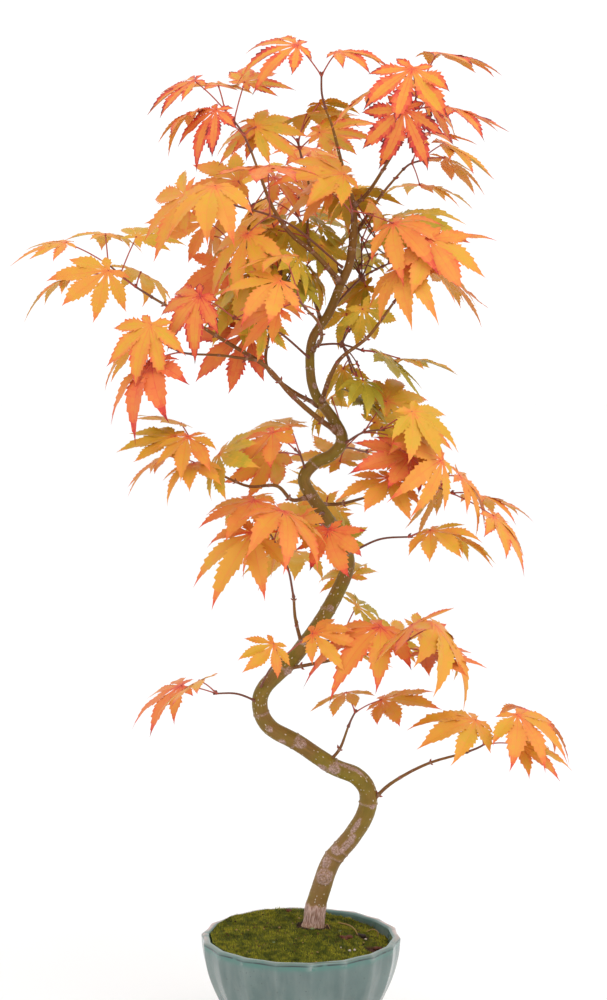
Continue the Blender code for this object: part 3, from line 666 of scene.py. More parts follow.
FLARE_HEIGHT = 0.006  # how far up the trunk widens towards its roots
FLARE = 0.0002
SLIM = 0.15  # how much slimmer the foot is than its solid
SLIM_TO = 0.012  # length of the trunk over which that runs out
ROOTS = 9  # ridges of the flare
OLD_BARK = 0.0962  # height up to which the bark is old
OLD_EDGE = (OLD_BARK - 0.0005, OLD_BARK + 0.0006)
OLD_THICK = 0.00035  # how far the old bark stands out
OLD_COLOURS = ((0.240, 0.110, 0.075), (0.760, 0.530, 0.460))
PINK_BARK = (0.255, 0.138, 0.052)
PORE = (0.74, 0.62, 0.48)
OLIVE = ((0.165, 0.118, 0.010), (0.245, 0.168, 0.018))
UMBER = ((0.245, 0.125, 0.030), (0.180, 0.096, 0.022))
TRUNK_RUDDY = (0.42, 0.50)  # length of the trunk over which its bark grows ruddy, like a bough's
# heights of the thin pale rings where leaves stood; above the last they follow every 20 mm or so
RINGS = (
    0.1260, 0.1310, 0.1608, 0.1845, 0.2003, 0.2183, 0.2440, 0.2583, 0.2785, 0.3108, 0.3300, 0.3467, 0.366,
)
RING_GAP = (0.016, 0.026)
RUDDY = ((0.270, 0.118, 0.026), (0.200, 0.075, 0.022))  # the browns of young bark
LOW = (0.075, 0.035)  # length of the trunk over which its low, pinker bark runs out
# height, degrees from the front, half its length, half its width, how far it stands out, whether
# it is wrinkled in rings like a healed cut
SCARS = (
    (0.1150, -8, 0.0048, 0.0050, 0.0011, True),
    (0.1225, -34, 0.0030, 0.0028, 0.0005, False),
    (0.1300, -30, 0.0020, 0.0036, 0.0004, False),
    (0.1360, 0, 0.0062, 0.0021, 0.0004, False),
    (0.1460, -24, 0.0052, 0.0015, 0.0004, False),
    (0.1600, 30, 0.0014, 0.0020, 0.0004, False),
    (0.1800, 45, 0.0045, 0.0011, 0.0003, False),
    (0.1838, 0, 0.0017, 0.0036, 0.0007, False),
    (0.1868, -48, 0.0019, 0.0024, 0.0005, False),
    (0.1985, 22, 0.0022, 0.0034, 0.0009, True),
    (0.2032, -38, 0.0011, 0.0018, 0.0005, False),
    (0.2092, -4, 0.0016, 0.0016, 0.0004, False),
    (0.2440, 34, 0.0018, 0.0026, 0.0008, True),
    (0.2583, -29, 0.0020, 0.0024, 0.0007, True),
    (0.2785, 5, 0.0013, 0.0022, 0.0006, False),
    (0.3108, 40, 0.0012, 0.0020, 0.0006, False),
    (0.3467, -20, 0.0014, 0.0020, 0.0006, False),
    (0.3850, -6, 0.0030, 0.0026, 0.0009, True),
    (0.4100, 30, 0.0018, 0.0014, 0.0005, False),
    (0.1500, 150, 0.0040, 0.0030, 0.0008, True),
    (0.2300, 200, 0.0030, 0.0026, 0.0007, True),
    (0.3200, 170, 0.0024, 0.0022, 0.0006, False),
)


def tapered(points, widths):
    """The marks of a limb that narrows evenly from its first point to its last."""
    first, last = widths
    share = 1 / (len(points) - 1)
    return [Vector((*point, first + (last - first) * i * share)) for i, point in enumerate(points)]


def ways(line):
    """The unit direction of a line at each of its points."""
    ends = [line[0], *line, line[-1]]
    return [(after.xyz - before.xyz).normalized() for before, after in zip(ends, ends[2:])]


def stretches(line, count):
    """The points that part a fine line into so many equal stretches, with both of its ends."""
    last = len(line) - 1
    return [line[round(last * i / count)] for i in range(count + 1)]


def bark(line, sides, shape):
    """Points and faces of a limb, how pale each point is, and its place in the bark's grain.

    shape(along, turn, point) gets how far along the limb a point lies, its turn from the limb's front
    and the limb's middle there. It gives the point's distance out and how pale its bark is.
    """
    vertices, pale, grain = [], [], []
    across = ways(line)[0].orthogonal()
    along = 0.0
    before = line[0]
    for point, way in zip(line, ways(line)):
        along += (point.xyz - before.xyz).length
        before = point
        across = (across - way * across.dot(way)).normalized()
        other = way.cross(across)
        front = math.atan2(-other.y, -across.y)
        for i in range(sides):
            angle = math.tau * i / sides
            turn = (angle - front + math.pi) % math.tau - math.pi
            reach, light = shape(along, turn, point)
            side = across * math.cos(angle) + other * math.sin(angle)
            vertices.append(point.xyz + side * reach)
            pale.append(light)
            grain.append((point.w / 2 * math.cos(turn), point.w / 2 * math.sin(turn), along))
    return vertices, closed(len(line), sides), pale, grain


def trunk_marks():
    return [Vector((*centre, width)) for centre, width in TRUNK]


def trunk_line():
    """The fine line of the whole trunk, from the ground up."""
    return curve(trunk_marks(), FINE_STEP)


def bark_finish(name, greens, browns, pore_share, ruddy, pink=0.0):
    """Smooth bark: green and brown drifts, pale pores, and the pale rings and scars."""
    material, tree, shader = finish(name, greens[0], roughness=0.55, specular=0.2)
    grain = at_points(tree, "grain", "Vector")
    long_way = stretched(tree, grain, 0.12)
    brown_red = tinted(tree, patches(tree, 240.0, 0.35, 0.65, detail=4.0, place=grain), *RUDDY)
    green = tinted(tree, patches(tree, 160.0, 0.3, 0.7, detail=4.0, place=grain), *greens)
    brown = tinted(tree, patches(tree, 900.0, 0.35, 0.7, place=long_way), *browns)
    colour = tinted(tree, patches(tree, 60.0, 0.38, 0.62, 0.1, 0.9, place=grain), green, brown)
    along = node(tree, "SeparateXYZ", {"Vector": grain}).outputs["Z"]
    colour = tinted(tree, between(tree, along, *ruddy, 0.0, 0.75), colour, brown_red)
    pinker = patches(tree, 75.0, 0.35, 0.55, 0.3, 1.0, place=grain)
    low = times(tree, between(tree, along, *LOW, 0.0, pink), pinker)
    colour = tinted(tree, low, colour, PINK_BARK)
    pores = node(tree, "TexVoronoi", {"Vector": stretched(tree, grain, 0.6), "Scale": 620.0})
    draw = node(tree, "SeparateColor", {0: pores.outputs["Color"]}).outputs[0]
    patch = patches(tree, 90.0, 0.36, 0.52, 1.0, 1.0 - pore_share, 2.0, grain)
    chosen = worked(tree, "GREATER_THAN", draw, patch)
    pore = times(tree, between(tree, pores.outputs["Distance"], 0.26, 0.14), chosen)
    colour = tinted(tree, times(tree, pore, 0.85), colour, PORE)
    pale, upright = at_points(tree, "pale"), at_points(tree, "upright")
    streak = patches(tree, 1500.0, 0.35, 0.66, detail=4.0, place=long_way)
    fine = patches(tree, 2200.0, 0.35, 0.66, detail=4.0, place=grain)
    lines = node(tree, "Mix", {0: upright, 2: fine, 3: streak}).outputs[0]
    ragged = patches(tree, 700.0, 0.30, 0.55, 0.2, 1.2, place=grain)
    covered = times(tree, pale, worked(tree, "MAXIMUM", ragged, upright))
    colour = tinted(tree, covered, colour, tinted(tree, lines, *OLD_COLOURS))
    tree.links.new(colour, shader.inputs["Base Color"])
    rough = patches(tree, 300.0, 0.3, 0.7, 0.34, 0.6, place=grain)
    tree.links.new(rough, shader.inputs["Roughness"])
    rise = worked(tree, "ADD", times(tree, lines, times(tree, pale, 1.6)), pore)
    rise = worked(tree, "ADD", rise, times(tree, cloud(tree, 1100.0, 3.0, long_way), 0.6))
    relief(tree, shader, rise, 0.00022)
    return material


def trunk():
    rng = random.Random(5)
    line = trunk_line()
    length = len(line) * FINE_STEP
    rings = []
    for height in RINGS:
        rings.append(FINE_STEP * min(i for i, point in enumerate(line) if point.z > height))
    while rings[-1] < length - 0.01:
        rings.append(rings[-1] + rng.uniform(*RING_GAP))
    tilts = [rng.uniform(-RING_TILT, RING_TILT) for _ in rings]
    upright = []

    def shape(along, turn, point):
        spot = Vector((math.cos(turn), math.sin(turn), along * 130))
        reach = point.w / 2 * (1 + 0.03 * noise.noise(spot * 1.1))
        low = max(0.0, 1 - along / FLARE_HEIGHT)
        reach *= 1 - SLIM * (1 - ramp(along, 0.0, SLIM_TO))
        reach += FLARE * low ** 2 * (0.75 + 0.45 * math.cos(ROOTS * turn + 1.3))
        old = 1 - ramp(point.z + 0.0022 * noise.noise(spot * 2.6), *OLD_EDGE)
        reach += OLD_THICK * old
        pale = old * (0.4 + 0.45 * ramp(along, 0.0, 0.005))
        upright.append(old)
        thick = min(1.0, point.w / RING_FULL)
        for place, tilt in zip(rings, tilts):
            off = abs(along - place - tilt * math.cos(turn + place * 900))
            if off < RING_SIGHT:
                ring = math.exp(-(off / (RING_WIDTH * thick)) ** 2)
                knot = max(0.0, noise.noise(spot * 2.4 + Vector((place * 50, 0, 0))))
                reach += RING_RISE * ring * thick * (1 + 2.0 * knot)
                pale = max(pale, ring * (0.45 + 0.9 * knot))
        for height, degrees, tall, wide, rise, wrinkled in SCARS:
            if abs(point.z - height) < 2 * tall:
                aside = (turn - math.radians(degrees) + math.pi) % math.tau - math.pi
                ragged = 1 + 0.22 * noise.noise(spot * 3.1)
                up, over = (point.z - height) / tall, aside * point.w / 2 / wide
                far = math.hypot(up, over) * ragged
                if far < 1.4:
                    wrinkle = 0.5 + 0.5 * math.cos(far * 14) if wrinkled else 0.8
                    dome = 1 - ramp(far, 0.35, 1.25)
                    reach += rise * dome * (0.6 + 0.4 * wrinkle)
                    pale = max(pale, (1 - ramp(far, 0.85, 1.15)) * (0.4 + 0.6 * wrinkle))
        reach += 0.00010 * noise.noise(spot * 6)
        return reach, pale

    rings_of_mesh = stretches(line, round(length / BARK_STEP))
    vertices, faces, pale, grain = bark(rings_of_mesh, BARK_SIDES, shape)
    green_bark = bark_finish("trunk_bark", OLIVE, UMBER, 0.7, TRUNK_RUDDY, 0.8)
    made = piece("trunk_bark", vertices, faces, [green_bark], sharp=70)
    mark(made, "pale", pale)
    mark(made, "grain", grain, "FLOAT_VECTOR")
    mark(made, "upright", upright)
    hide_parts(*[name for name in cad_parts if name.startswith("trunk_")])


trunk()

# ---------------------------------------------------------------- boughs
# Fifteen side limbs grow out of the trunk, thickened where they join it, and two thinner ones out of
# other boughs. Their bark is younger than the trunk's: thin, red brown and a little glossy, ringed
# where leaves stood, with small pointed buds.

# name, what carries it, width where it leaves, width at its tip, points from inside its carrier
BOUGHS = (
    ("bough_low_right", "trunk", 0.0030, 0.0017, (
        (0.040, 0.002, 0.158), (0.053, -0.004, 0.173), (0.074, -0.012, 0.187), (0.097, -0.020, 0.196))),
    ("bough_low_mid", "trunk", 0.0028, 0.0016, (
        (0.015, -0.003, 0.185), (0.023, -0.007, 0.195), (0.028, -0.010, 0.209))),
    ("bough_right_lower", "trunk", 0.0028, 0.0016, (
        (-0.010, -0.006, 0.243), (0.013, -0.014, 0.249), (0.027, -0.022, 0.254), (0.042, -0.030, 0.257))),
    ("bough_mid_left", "trunk", 0.0030, 0.0018, (
        (0.001, -0.003, 0.256), (-0.003, -0.012, 0.274), (-0.004, -0.018, 0.288))),
    ("bough_right_upper", "trunk", 0.0028, 0.0016, (
        (0.010, 0.004, 0.340), (0.023, 0.006, 0.340), (0.035, -0.002, 0.344), (0.049, -0.014, 0.350))),
    ("bough_left_upper", "trunk", 0.0032, 0.0016, (
        (0.005, 0.001, 0.345), (-0.005, -0.006, 0.344), (-0.014, -0.012, 0.353), (-0.030, -0.021, 0.354),
        (-0.045, -0.028, 0.361))),
    ("bough_left_crown", "trunk", 0.0042, 0.0018, (
        (0.022, -0.006, 0.384), (0.010, -0.014, 0.393), (-0.006, -0.022, 0.408), (-0.020, -0.026, 0.424),
        (-0.044, -0.026, 0.439), (-0.062, -0.024, 0.450), (-0.085, -0.018, 0.463))),
    ("bough_left_crown_low", "bough_left_crown", 0.0022, 0.0015, (
        (-0.022, -0.026, 0.427), (-0.036, -0.036, 0.430), (-0.047, -0.044, 0.432), (-0.060, -0.050, 0.433))),
    ("bough_left_inner", "trunk", 0.0034, 0.0017, (
        (0.011, -0.002, 0.399), (-0.006, 0.012, 0.407), (-0.020, 0.020, 0.420), (-0.018, 0.022, 0.441),
        (-0.012, 0.018, 0.455))),
    ("bough_left_thin", "trunk", 0.0026, 0.0015, (
        (0.012, 0.001, 0.448), (0.006, 0.016, 0.464), (-0.004, 0.028, 0.473), (-0.023, 0.042, 0.484))),
    ("bough_right_crown", "trunk", 0.0038, 0.0018, (
        (0.012, -0.002, 0.400), (0.016, -0.014, 0.414), (0.023, -0.020, 0.428), (0.039, -0.022, 0.441),
        (0.053, -0.024, 0.460))),
    ("bough_left_top", "trunk", 0.0040, 0.0016, (
        (0.024, 0.002, 0.470), (0.008, -0.012, 0.488), (-0.006, -0.020, 0.500), (-0.016, -0.024, 0.515),
        (-0.022, -0.022, 0.530), (-0.028, -0.016, 0.546))),
    ("bough_top_mid", "bough_left_top", 0.0024, 0.0014, (
        (0.005, -0.012, 0.492), (0.004, 0.002, 0.503), (0.005, 0.012, 0.525), (0.001, 0.016, 0.541))),
    ("bough_right_top", "trunk", 0.0032, 0.0016, (
        (0.030, 0.004, 0.514), (0.039, -0.006, 0.523), (0.049, -0.016, 0.539), (0.057, -0.022, 0.552))),
    ("bough_right_back", "trunk", 0.0030, 0.0015, (
        (0.030, 0.004, 0.495), (0.040, 0.022, 0.510), (0.050, 0.040, 0.523), (0.061, 0.052, 0.535))),
    ("bough_crown_back", "trunk", 0.0034, 0.0016, (
        (0.026, 0.002, 0.475), (0.017, 0.030, 0.481), (0.007, 0.060, 0.493), (0.000, 0.086, 0.503))),
    ("bough_crown_front", "trunk", 0.0030, 0.0016, (
        (0.007, 0.001, 0.431), (0.012, -0.024, 0.440), (0.010, -0.050, 0.451), (0.003, -0.068, 0.460))),
)
BOUGH_MESH_STEP = 0.0008
BOUGH_MESH_SIDES = 14
COLLAR = 0.55  # how much wider a bough is where it joins, as a share of its width
COLLAR_FALL = (0.001, 0.0075)  # length of the bough over which that runs out
COLLAR_FROM = 0.0025  # width of a bough from which it has a collar
BOUGH_SLIM = 0.82  # width of a bough, as a share of its solid's
BOUGH_RING_WIDTH = 0.0007
BOUGH_RING_RISE = 0.00020
BOUGH_RING_FIRST = (0.010, 0.016)  # how far along a bough its first ring stands
BOUGH_RING_GAP = (0.013, 0.024)
COLLAR_RING = (0.0050, 0.0012)  # how far along the pale ring of the collar stands, and its width
BOUGH_GREENS = ((0.155, 0.078, 0.016), (0.210, 0.108, 0.022))
BOUGH_BROWNS = ((0.180, 0.056, 0.024), (0.125, 0.038, 0.017))
BOUGH_RUDDY = (-0.01, 0.06)
BUD_COLOUR = (0.30, 0.055, 0.035)
BUD_LENGTH = 0.0026
BUD_SIDES = 6
BUD_ROWS = ((-0.1, 0.16), (0.25, 0.30), (0.55, 0.22), (0.8, 0.09))  # how far along, how wide


def bud(foot, way, length):
    """A pointed bud: a drop that ends in a tip."""
    across = way.orthogonal().normalized()
    other = way.cross(across)
    vertices = []
    for share, width in BUD_ROWS:
        for side in spokes(across, other, BUD_SIDES):
            vertices.append(foot + way * length * share + side * length * width)
    tip = len(vertices)
    last = tip - BUD_SIDES
    vertices.append(foot + way * length)
    faces = quads(len(BUD_ROWS), BUD_SIDES) + [tuple(reversed(range(BUD_SIDES)))]
    faces += [(last + i, last + (i + 1) % BUD_SIDES, tip) for i in range(BUD_SIDES)]
    return vertices, faces


def bough_lines():
    """The fine line of each bough by name, from inside what carries it."""
    return {row[0]: curve(tapered(row[4], row[2:4]), FINE_STEP) for row in BOUGHS}


def boughs():
    red_bark = bark_finish("bough_bark", BOUGH_GREENS, BOUGH_BROWNS, 0.2, BOUGH_RUDDY)
    bud_finish = plain_finish("bough_bud", BUD_COLOUR, 0.45)
    for number, (name, line) in enumerate(bough_lines().items()):
        rng = random.Random(100 + number)
        length = len(line) * FINE_STEP
        rings = [rng.uniform(*BOUGH_RING_FIRST)]
        while rings[-1] < length - 0.016:
            rings.append(rings[-1] + rng.uniform(*BOUGH_RING_GAP))

        def shape(along, turn, point):
            spot = Vector((math.cos(turn), math.sin(turn), along * 260 + number * 9))
            reach = BOUGH_SLIM * point.w / 2 * (1 + 0.06 * noise.noise(spot * 1.2))
            reach *= 1 + COLLAR * (1 - ramp(along, *COLLAR_FALL)) * (line[0].w > COLLAR_FROM)
            pale = 0.0
            for place in rings:
                ring = math.exp(-((along - place) / BOUGH_RING_WIDTH) ** 2)
                reach += BOUGH_RING_RISE * ring
                pale = max(pale, 0.5 * ring)
            collar = math.exp(-((along - COLLAR_RING[0]) / COLLAR_RING[1]) ** 2)
            return reach, max(pale, 0.6 * collar)

        rings_of_mesh = stretches(line, round(length / BOUGH_MESH_STEP))
        vertices, faces, pale, grain = bark(rings_of_mesh, BOUGH_MESH_SIDES, shape)
        dealt = [0] * len(faces)
        for i, place in enumerate(rings):
            index = min(len(line) - 2, round(place / FINE_STEP))
            way = ways(line[index - 1:index + 2])[1]
            level = way.cross(Vector((0.0, 0.0, 1.0))).normalized()
            side = level if i % 2 else way.cross(level)
            for hand in (1, -1):
                start = line[index].xyz + side * hand * line[index].w * 0.42
                lean = (way * 1.1 + side * hand).normalized()
                grown = bud(start, lean, BUD_LENGTH * rng.uniform(0.6, 1.0))
                add((vertices, faces, dealt), grown, 1)
                pale += [0.0] * len(grown[0])
                grain += [(0.0, 0.0, 0.0)] * len(grown[0])
        made = piece(f"bark_of_{name}", vertices, faces, [red_bark, bud_finish], dealt, sharp=70)
        mark(made, "pale", pale)
        mark(made, "grain", grain, "FLOAT_VECTOR")
        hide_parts(name)


boughs()

# ---------------------------------------------------------------- twigs and leaves
# Each bough runs out into thin red brown shoots that carry leaves in opposite pairs, each leaf on a
# red stalk of its own: a thin blade of seven toothed lobes that turns its face to the light. They
# have turned in autumn, each spray to its own tint, reddest at the hub, the margin and the tips.

# name, where its stem leaves the trunk (None where it grows on from the tip of the bough of the same
# name, or of the trunk), where the stem ends, pairs of leaves along it, side twigs, length of a
# leaf's middle lobe, tint, seed
MASSES = (
    ("low_right", None, (0.117, -0.026, 0.210), 2, 0, 0.044, "gold", 542),
    ("low_mid", None, (0.033, -0.016, 0.221), 1, 0, 0.038, "orange", 93),
    ("right_lower", None, (0.063, -0.046, 0.269), 2, 0, 0.046, "orange", 484),
    ("left_low", (-0.023, -0.009, 0.223), (-0.051, -0.028, 0.233), 1, 0, 0.036, "orange", 371),
    ("left_low_2", (-0.025, -0.009, 0.230), (-0.011, -0.040, 0.256), 1, 0, 0.030, "orange", 349),
    ("mid_left", None, (-0.022, -0.034, 0.336), 2, 1, 0.044, "flame", 20),
    ("mid_right", (0.027, 0.008, 0.309), (0.065, -0.018, 0.324), 1, 0, 0.040, "orange", 509),
    ("mid_front", (0.014, 0.006, 0.334), (0.009, -0.034, 0.334), 1, 0, 0.042, "flame", 918),
    ("right_upper", None, (0.076, -0.030, 0.360), 3, 1, 0.042, "orange", 475),
    ("left_upper", None, (-0.060, -0.040, 0.374), 3, 0, 0.036, "gold", 358),
    ("neck_left", (0.003, -0.001, 0.360), (-0.003, -0.036, 0.377), 2, 0, 0.038, "orange", 407),
    ("neck_right", (0.024, -0.006, 0.376), (0.048, -0.030, 0.388), 2, 0, 0.040, "gold", 421),
    ("left_crown", None, (-0.113, -0.006, 0.483), 3, 0, 0.038, "gold", 989),
    ("left_crown_low", None, (-0.074, -0.058, 0.438), 2, 0, 0.042, "flame", 75),
    ("left_inner", None, (-0.012, 0.006, 0.466), 2, 0, 0.038, "olive", 373),
    ("left_thin", None, (-0.043, 0.050, 0.492), 2, 1, 0.042, "flame", 552),
    ("right_crown", None, (0.070, -0.030, 0.486), 3, 0, 0.040, "orange", 320),
    ("left_top", None, (-0.045, -0.006, 0.572), 3, 0, 0.038, "orange", 358),
    ("top_mid", None, (-0.002, 0.020, 0.554), 2, 0, 0.038, "gold", 443),
    ("right_top", None, (0.066, -0.030, 0.580), 3, 0, 0.042, "flame", 347),
    ("right_back", None, (0.074, 0.058, 0.541), 2, 0, 0.042, "gold", 466),
    ("crown_back", None, (-0.005, 0.110, 0.513), 3, 1, 0.042, "gold", 379),
    ("crown_front", None, (-0.002, -0.084, 0.468), 2, 0, 0.038, "gold", 622),
    ("tip", None, (0.012, -0.006, 0.592), 1, 0, 0.038, "orange", 249),
    ("upper_front", (0.030, 0.004, 0.506), (0.029, -0.044, 0.512), 2, 0, 0.042, "orange", 436),
    ("upper_left", (0.026, 0.003, 0.478), (-0.040, -0.058, 0.518), 3, 0, 0.044, "orange", 401),
    ("right_olive", (0.007, 0.001, 0.434), (0.038, -0.006, 0.431), 1, 0, 0.038, "olive", 516),
    ("right_mid", (0.017, 0.001, 0.454), (0.054, 0.034, 0.481), 2, 1, 0.040, "olive", 412),
    ("left_mid", (0.007, 0.001, 0.425), (-0.038, -0.058, 0.454), 2, 1, 0.042, "flame", 2),
    ("back_low", (-0.006, -0.005, 0.248), (0.051, 0.050, 0.253), 2, 0, 0.042, "olive", 639),
    ("back_mid", (0.026, 0.008, 0.311), (0.000, 0.062, 0.316), 2, 0, 0.042, "gold", 199),
    ("back_neck", (0.010, -0.004, 0.367), (0.041, 0.052, 0.365), 2, 0, 0.040, "gold", 790),
)
GAP = 0.0003  # clearance between solids that meet
STEM_WIDTHS = (0.0014, 0.0011)  # of a mass's stem, where it starts and at its tip
TWIG_WIDTHS = (0.0011, 0.0009)
STALK_WIDTHS = (0.0009, 0.0008)
STALK_LENGTH = (0.016, 0.030)  # shortest and longest leaf stalk
TWIG_LENGTH = (0.020, 0.034)
TWIG_BOW = 0.001  # how far a twig's middle stands above the straight way
TWIG_LIFT = 0.2  # how far a twig rises, as a share of its reach
STALK_LIFT = (0.0, 0.3)  # the same for a stalk
STEM_BOW = 0.08  # how far a stem that leaves the trunk arches, as a share of its length
TIP_BOW = 0.4  # how far a stem at a bough's tip runs on in the bough's way before it turns
BARE_SHARE = 0.7  # share of a stem that its nodes stand along, counted back from the tip
MOST_BETWEEN = 0.5  # the widest room between two nodes, as a share of the stem
SIDE_SPREAD = (48, 76)  # degrees between the stem and a side leaf's stalk
END_SPREAD = (22, 44)  # the same for the two leaves at the tip
END_ROLL = (-25, 25)  # degrees that the last pair is turned out of the level
TWIG_ROLL = (-30, 30)
SIDE_ROLL = (-20, 20)
NODE_TURN = 60  # degrees that every other side pair is turned on
LEAF_ROOM = 0.0030  # the thickness that is kept clear round a leaf
STALK_ROOM = 0.0006  # kept clear round a stalk
STALK_SINK = 0.0025  # how far back from a twig's tip its last two stalks start
# each pair of lobes: degrees from the middle lobe, share of the middle lobe's length
LOBES = ((0, 1.0), (38, 0.93), (76, 0.70), (124, 0.34))
SHOULDER = 0.55  # where a lobe is widest, as a share of its length
SHOULDER_TURN = 13  # degrees from a lobe's middle line to its shoulder
NOTCH = 0.27  # where two lobes part, as a share of the middle lobe
HEEL = 0.05  # where the two hindmost lobes meet at the stalk
LOBE_FALL = math.radians(16)  # how far the lobes hang below the hub
LIGHT = Vector((0.0, -0.42, 0.90))  # the side that the blades turn to
STALK_PULL = 0.25  # how far a stalk draws its blade's face to its own way
TILT = 0.32  # how far the faces stray from that
DROOP = (0.2, 1.3)  # how far a middle lobe hangs, as a share of its stalk's way
LEAF_SIZES = (0.84, 1.1)  # smallest and largest, as shares of the mass's own
UP = Vector((0.0, 0.0, 1.0))
TRIES = 8  # draws for one leaf before it is skipped

TRUNK_STEP = 0.0112  # between a limb's rings
BOUGH_STEP = 0.014
TRUNK_SIDES = 9
BOUGH_SIDES = 5
STEM_SIDES = 3
STALK_SIDES = 3


def limb(line, along, step, sides):
    """A tube round a fine line, with its rings square to the line and about one step apart."""
    count = max(1, round(len(line) * FINE_STEP / step))
    return tube(stretches(line, count), sides, along=stretches(along, count))


def tube(line, sides, extra=0.0, along=None):
    """Vertices and faces of a closed tube round a line, with some room round it if asked."""
    vertices = []
    along = along or ways(line)
    across = along[0].orthogonal()
    for point, way in zip(line, along):
        across = (across - way * across.dot(way)).normalized()
        radius = point.w / 2 + extra
        vertices += [point.xyz + radius * side for side in spokes(across, way.cross(across), sides)]
    return vertices, closed(len(line), sides)


def leave(line, carrier):
    """The part of a fine line that is clear of the limb it starts in."""
    for start, (point, following) in enumerate(zip(line, line[1:])):
        way = following.xyz - point.xyz
        across = way.orthogonal().normalized()
        other = across.cross(way).normalized()
        rim = [point.xyz + point.w / 2 * side for side in (across, other, -across, -other)]
        if all(outside(corner, carrier) > GAP for corner in rim):
            return line[start:]
    raise ValueError("a limb ends inside its carrier")


def outside(point, tree):
    """How far a point lies outside a closed surface; negative inside it."""
    nearest, normal, _, distance = tree.find_nearest(point)
    return math.copysign(distance, (point - nearest).dot(normal))


def trunk_lines():
    """The fine line of each stretch of the trunk between two bends, and its ways, from the ground up."""
    marks, whole = trunk_marks(), trunk_line()
    cuts = []
    for bend in TRUNK_BENDS:
        cuts.append(min(range(len(whole)), key=lambda i: (whole[i] - marks[bend]).length))
    along = ways(whole)
    for cut in cuts:
        along[cut + 1] = along[cut]
    starts = [0] + [cut + 1 for cut in cuts]
    stops = [cut + 1 for cut in cuts] + [len(whole)]
    return [(whole[start:stop], along[start:stop]) for start, stop in zip(starts, stops)]


def limb_shapes():
    """Line and shape of each stretch of the trunk and each bough, by name."""
    lines, shapes = {}, {}
    for number, (line, along) in enumerate(trunk_lines(), start=1):
        lines[f"trunk_{number}"] = line
        shapes[f"trunk_{number}"] = limb(line, along, TRUNK_STEP, TRUNK_SIDES)
    ground = TRUNK[0][0][2]
    for corner in shapes["trunk_1"][0][:TRUNK_SIDES]:
        corner.z = ground
    trunk_tree = surface([shapes[name] for name in lines])
    fine_lines = bough_lines()
    for name, carrier, *_ in BOUGHS:
        carrier_tree = trunk_tree if carrier == "trunk" else surface([shapes[carrier]])
        lines[name] = leave(fine_lines[name], carrier_tree)
        shapes[name] = limb(lines[name], ways(lines[name]), BOUGH_STEP, BOUGH_SIDES)
    return lines, shapes


def surface(shapes):
    """One search tree over several shapes."""
    vertices, faces = [], []
    for corners, sides in shapes:
        first = len(vertices)
        vertices += corners
        faces += [tuple(first + i for i in side) for side in sides]
    return BVHTree.FromPolygons(vertices, faces)


def leaf_outline():
    """Corners of a flat leaf of unit length, anticlockwise from its heel: (angle, radius)."""
    right = []
    for (turn, length), (next_turn, _) in zip(LOBES, LOBES[1:]):
        if turn > 0:
            right.append((turn, length))
        if turn < LOBES[2][0]:
            right.append((turn + SHOULDER_TURN, length * SHOULDER))
        right.append(((turn + next_turn) / 2, NOTCH))
        if next_turn < LOBES[2][0]:
            right.append((next_turn - SHOULDER_TURN, LOBES[1][1] * SHOULDER))
    right.append(LOBES[-1])
    left = [(-turn, length) for turn, length in reversed(right)]
    return [(-180, HEEL), *left, LOBES[0], *right]


def blade(hub, heading, normal, length, thickness):
    """A leaf: two low cones of lobes, back to back, that hang a little from the hub."""
    beside = normal.cross(heading)
    vertices = [hub + normal * thickness / 2, hub - normal * thickness / 2]
    for turn, reach in leaf_outline():
        angle = math.radians(turn)
        flat = heading * math.cos(angle) + beside * math.sin(angle)
        vertices.append(hub + (flat * math.cos(LOBE_FALL) - normal * math.sin(LOBE_FALL)) * reach * length)
    corners = range(2, len(vertices))
    faces = []
    for here, beyond in zip(corners, [*corners[1:], corners[0]]):
        faces += [(0, here, beyond), (1, beyond, here)]
    return vertices, faces


def draw_leaf(rng, foot, way, side, spread, length):
    """One draw of a leaf: the line of its stalk from foot, and its blade's place."""
    turn = math.radians(rng.uniform(*spread))
    start = (way * math.cos(turn) + side * math.sin(turn) + UP * rng.uniform(*STALK_LIFT)).normalized()
    reach = rng.uniform(*STALK_LENGTH)
    hub = foot + start * reach
    tilt = Vector((rng.gauss(0, 1), rng.gauss(0, 1), rng.gauss(0, 1))) * TILT
    normal = (LIGHT + start * STALK_PULL + tilt).normalized()
    fall = start - UP * rng.uniform(*DROOP)
    heading = (fall - normal * fall.dot(normal)).normalized()
    stalk = tapered((foot, hub), STALK_WIDTHS)
    return stalk, (hub, heading, normal, length * rng.uniform(*LEAF_SIZES))


def room(shape):
    """A shape's search tree, with a ball round it for a quick first test."""
    vertices = shape[0]
    centre = sum(vertices, Vector()) / len(vertices)
    reach = max((vertex - centre).length for vertex in vertices)
    return centre, reach, surface([shape])


def touches(one, others):
    centre, reach, tree = one
    return any(
        (centre - other_centre).length < reach + other_reach and tree.overlap(other_tree)
        for other_centre, other_reach, other_tree in others
    )


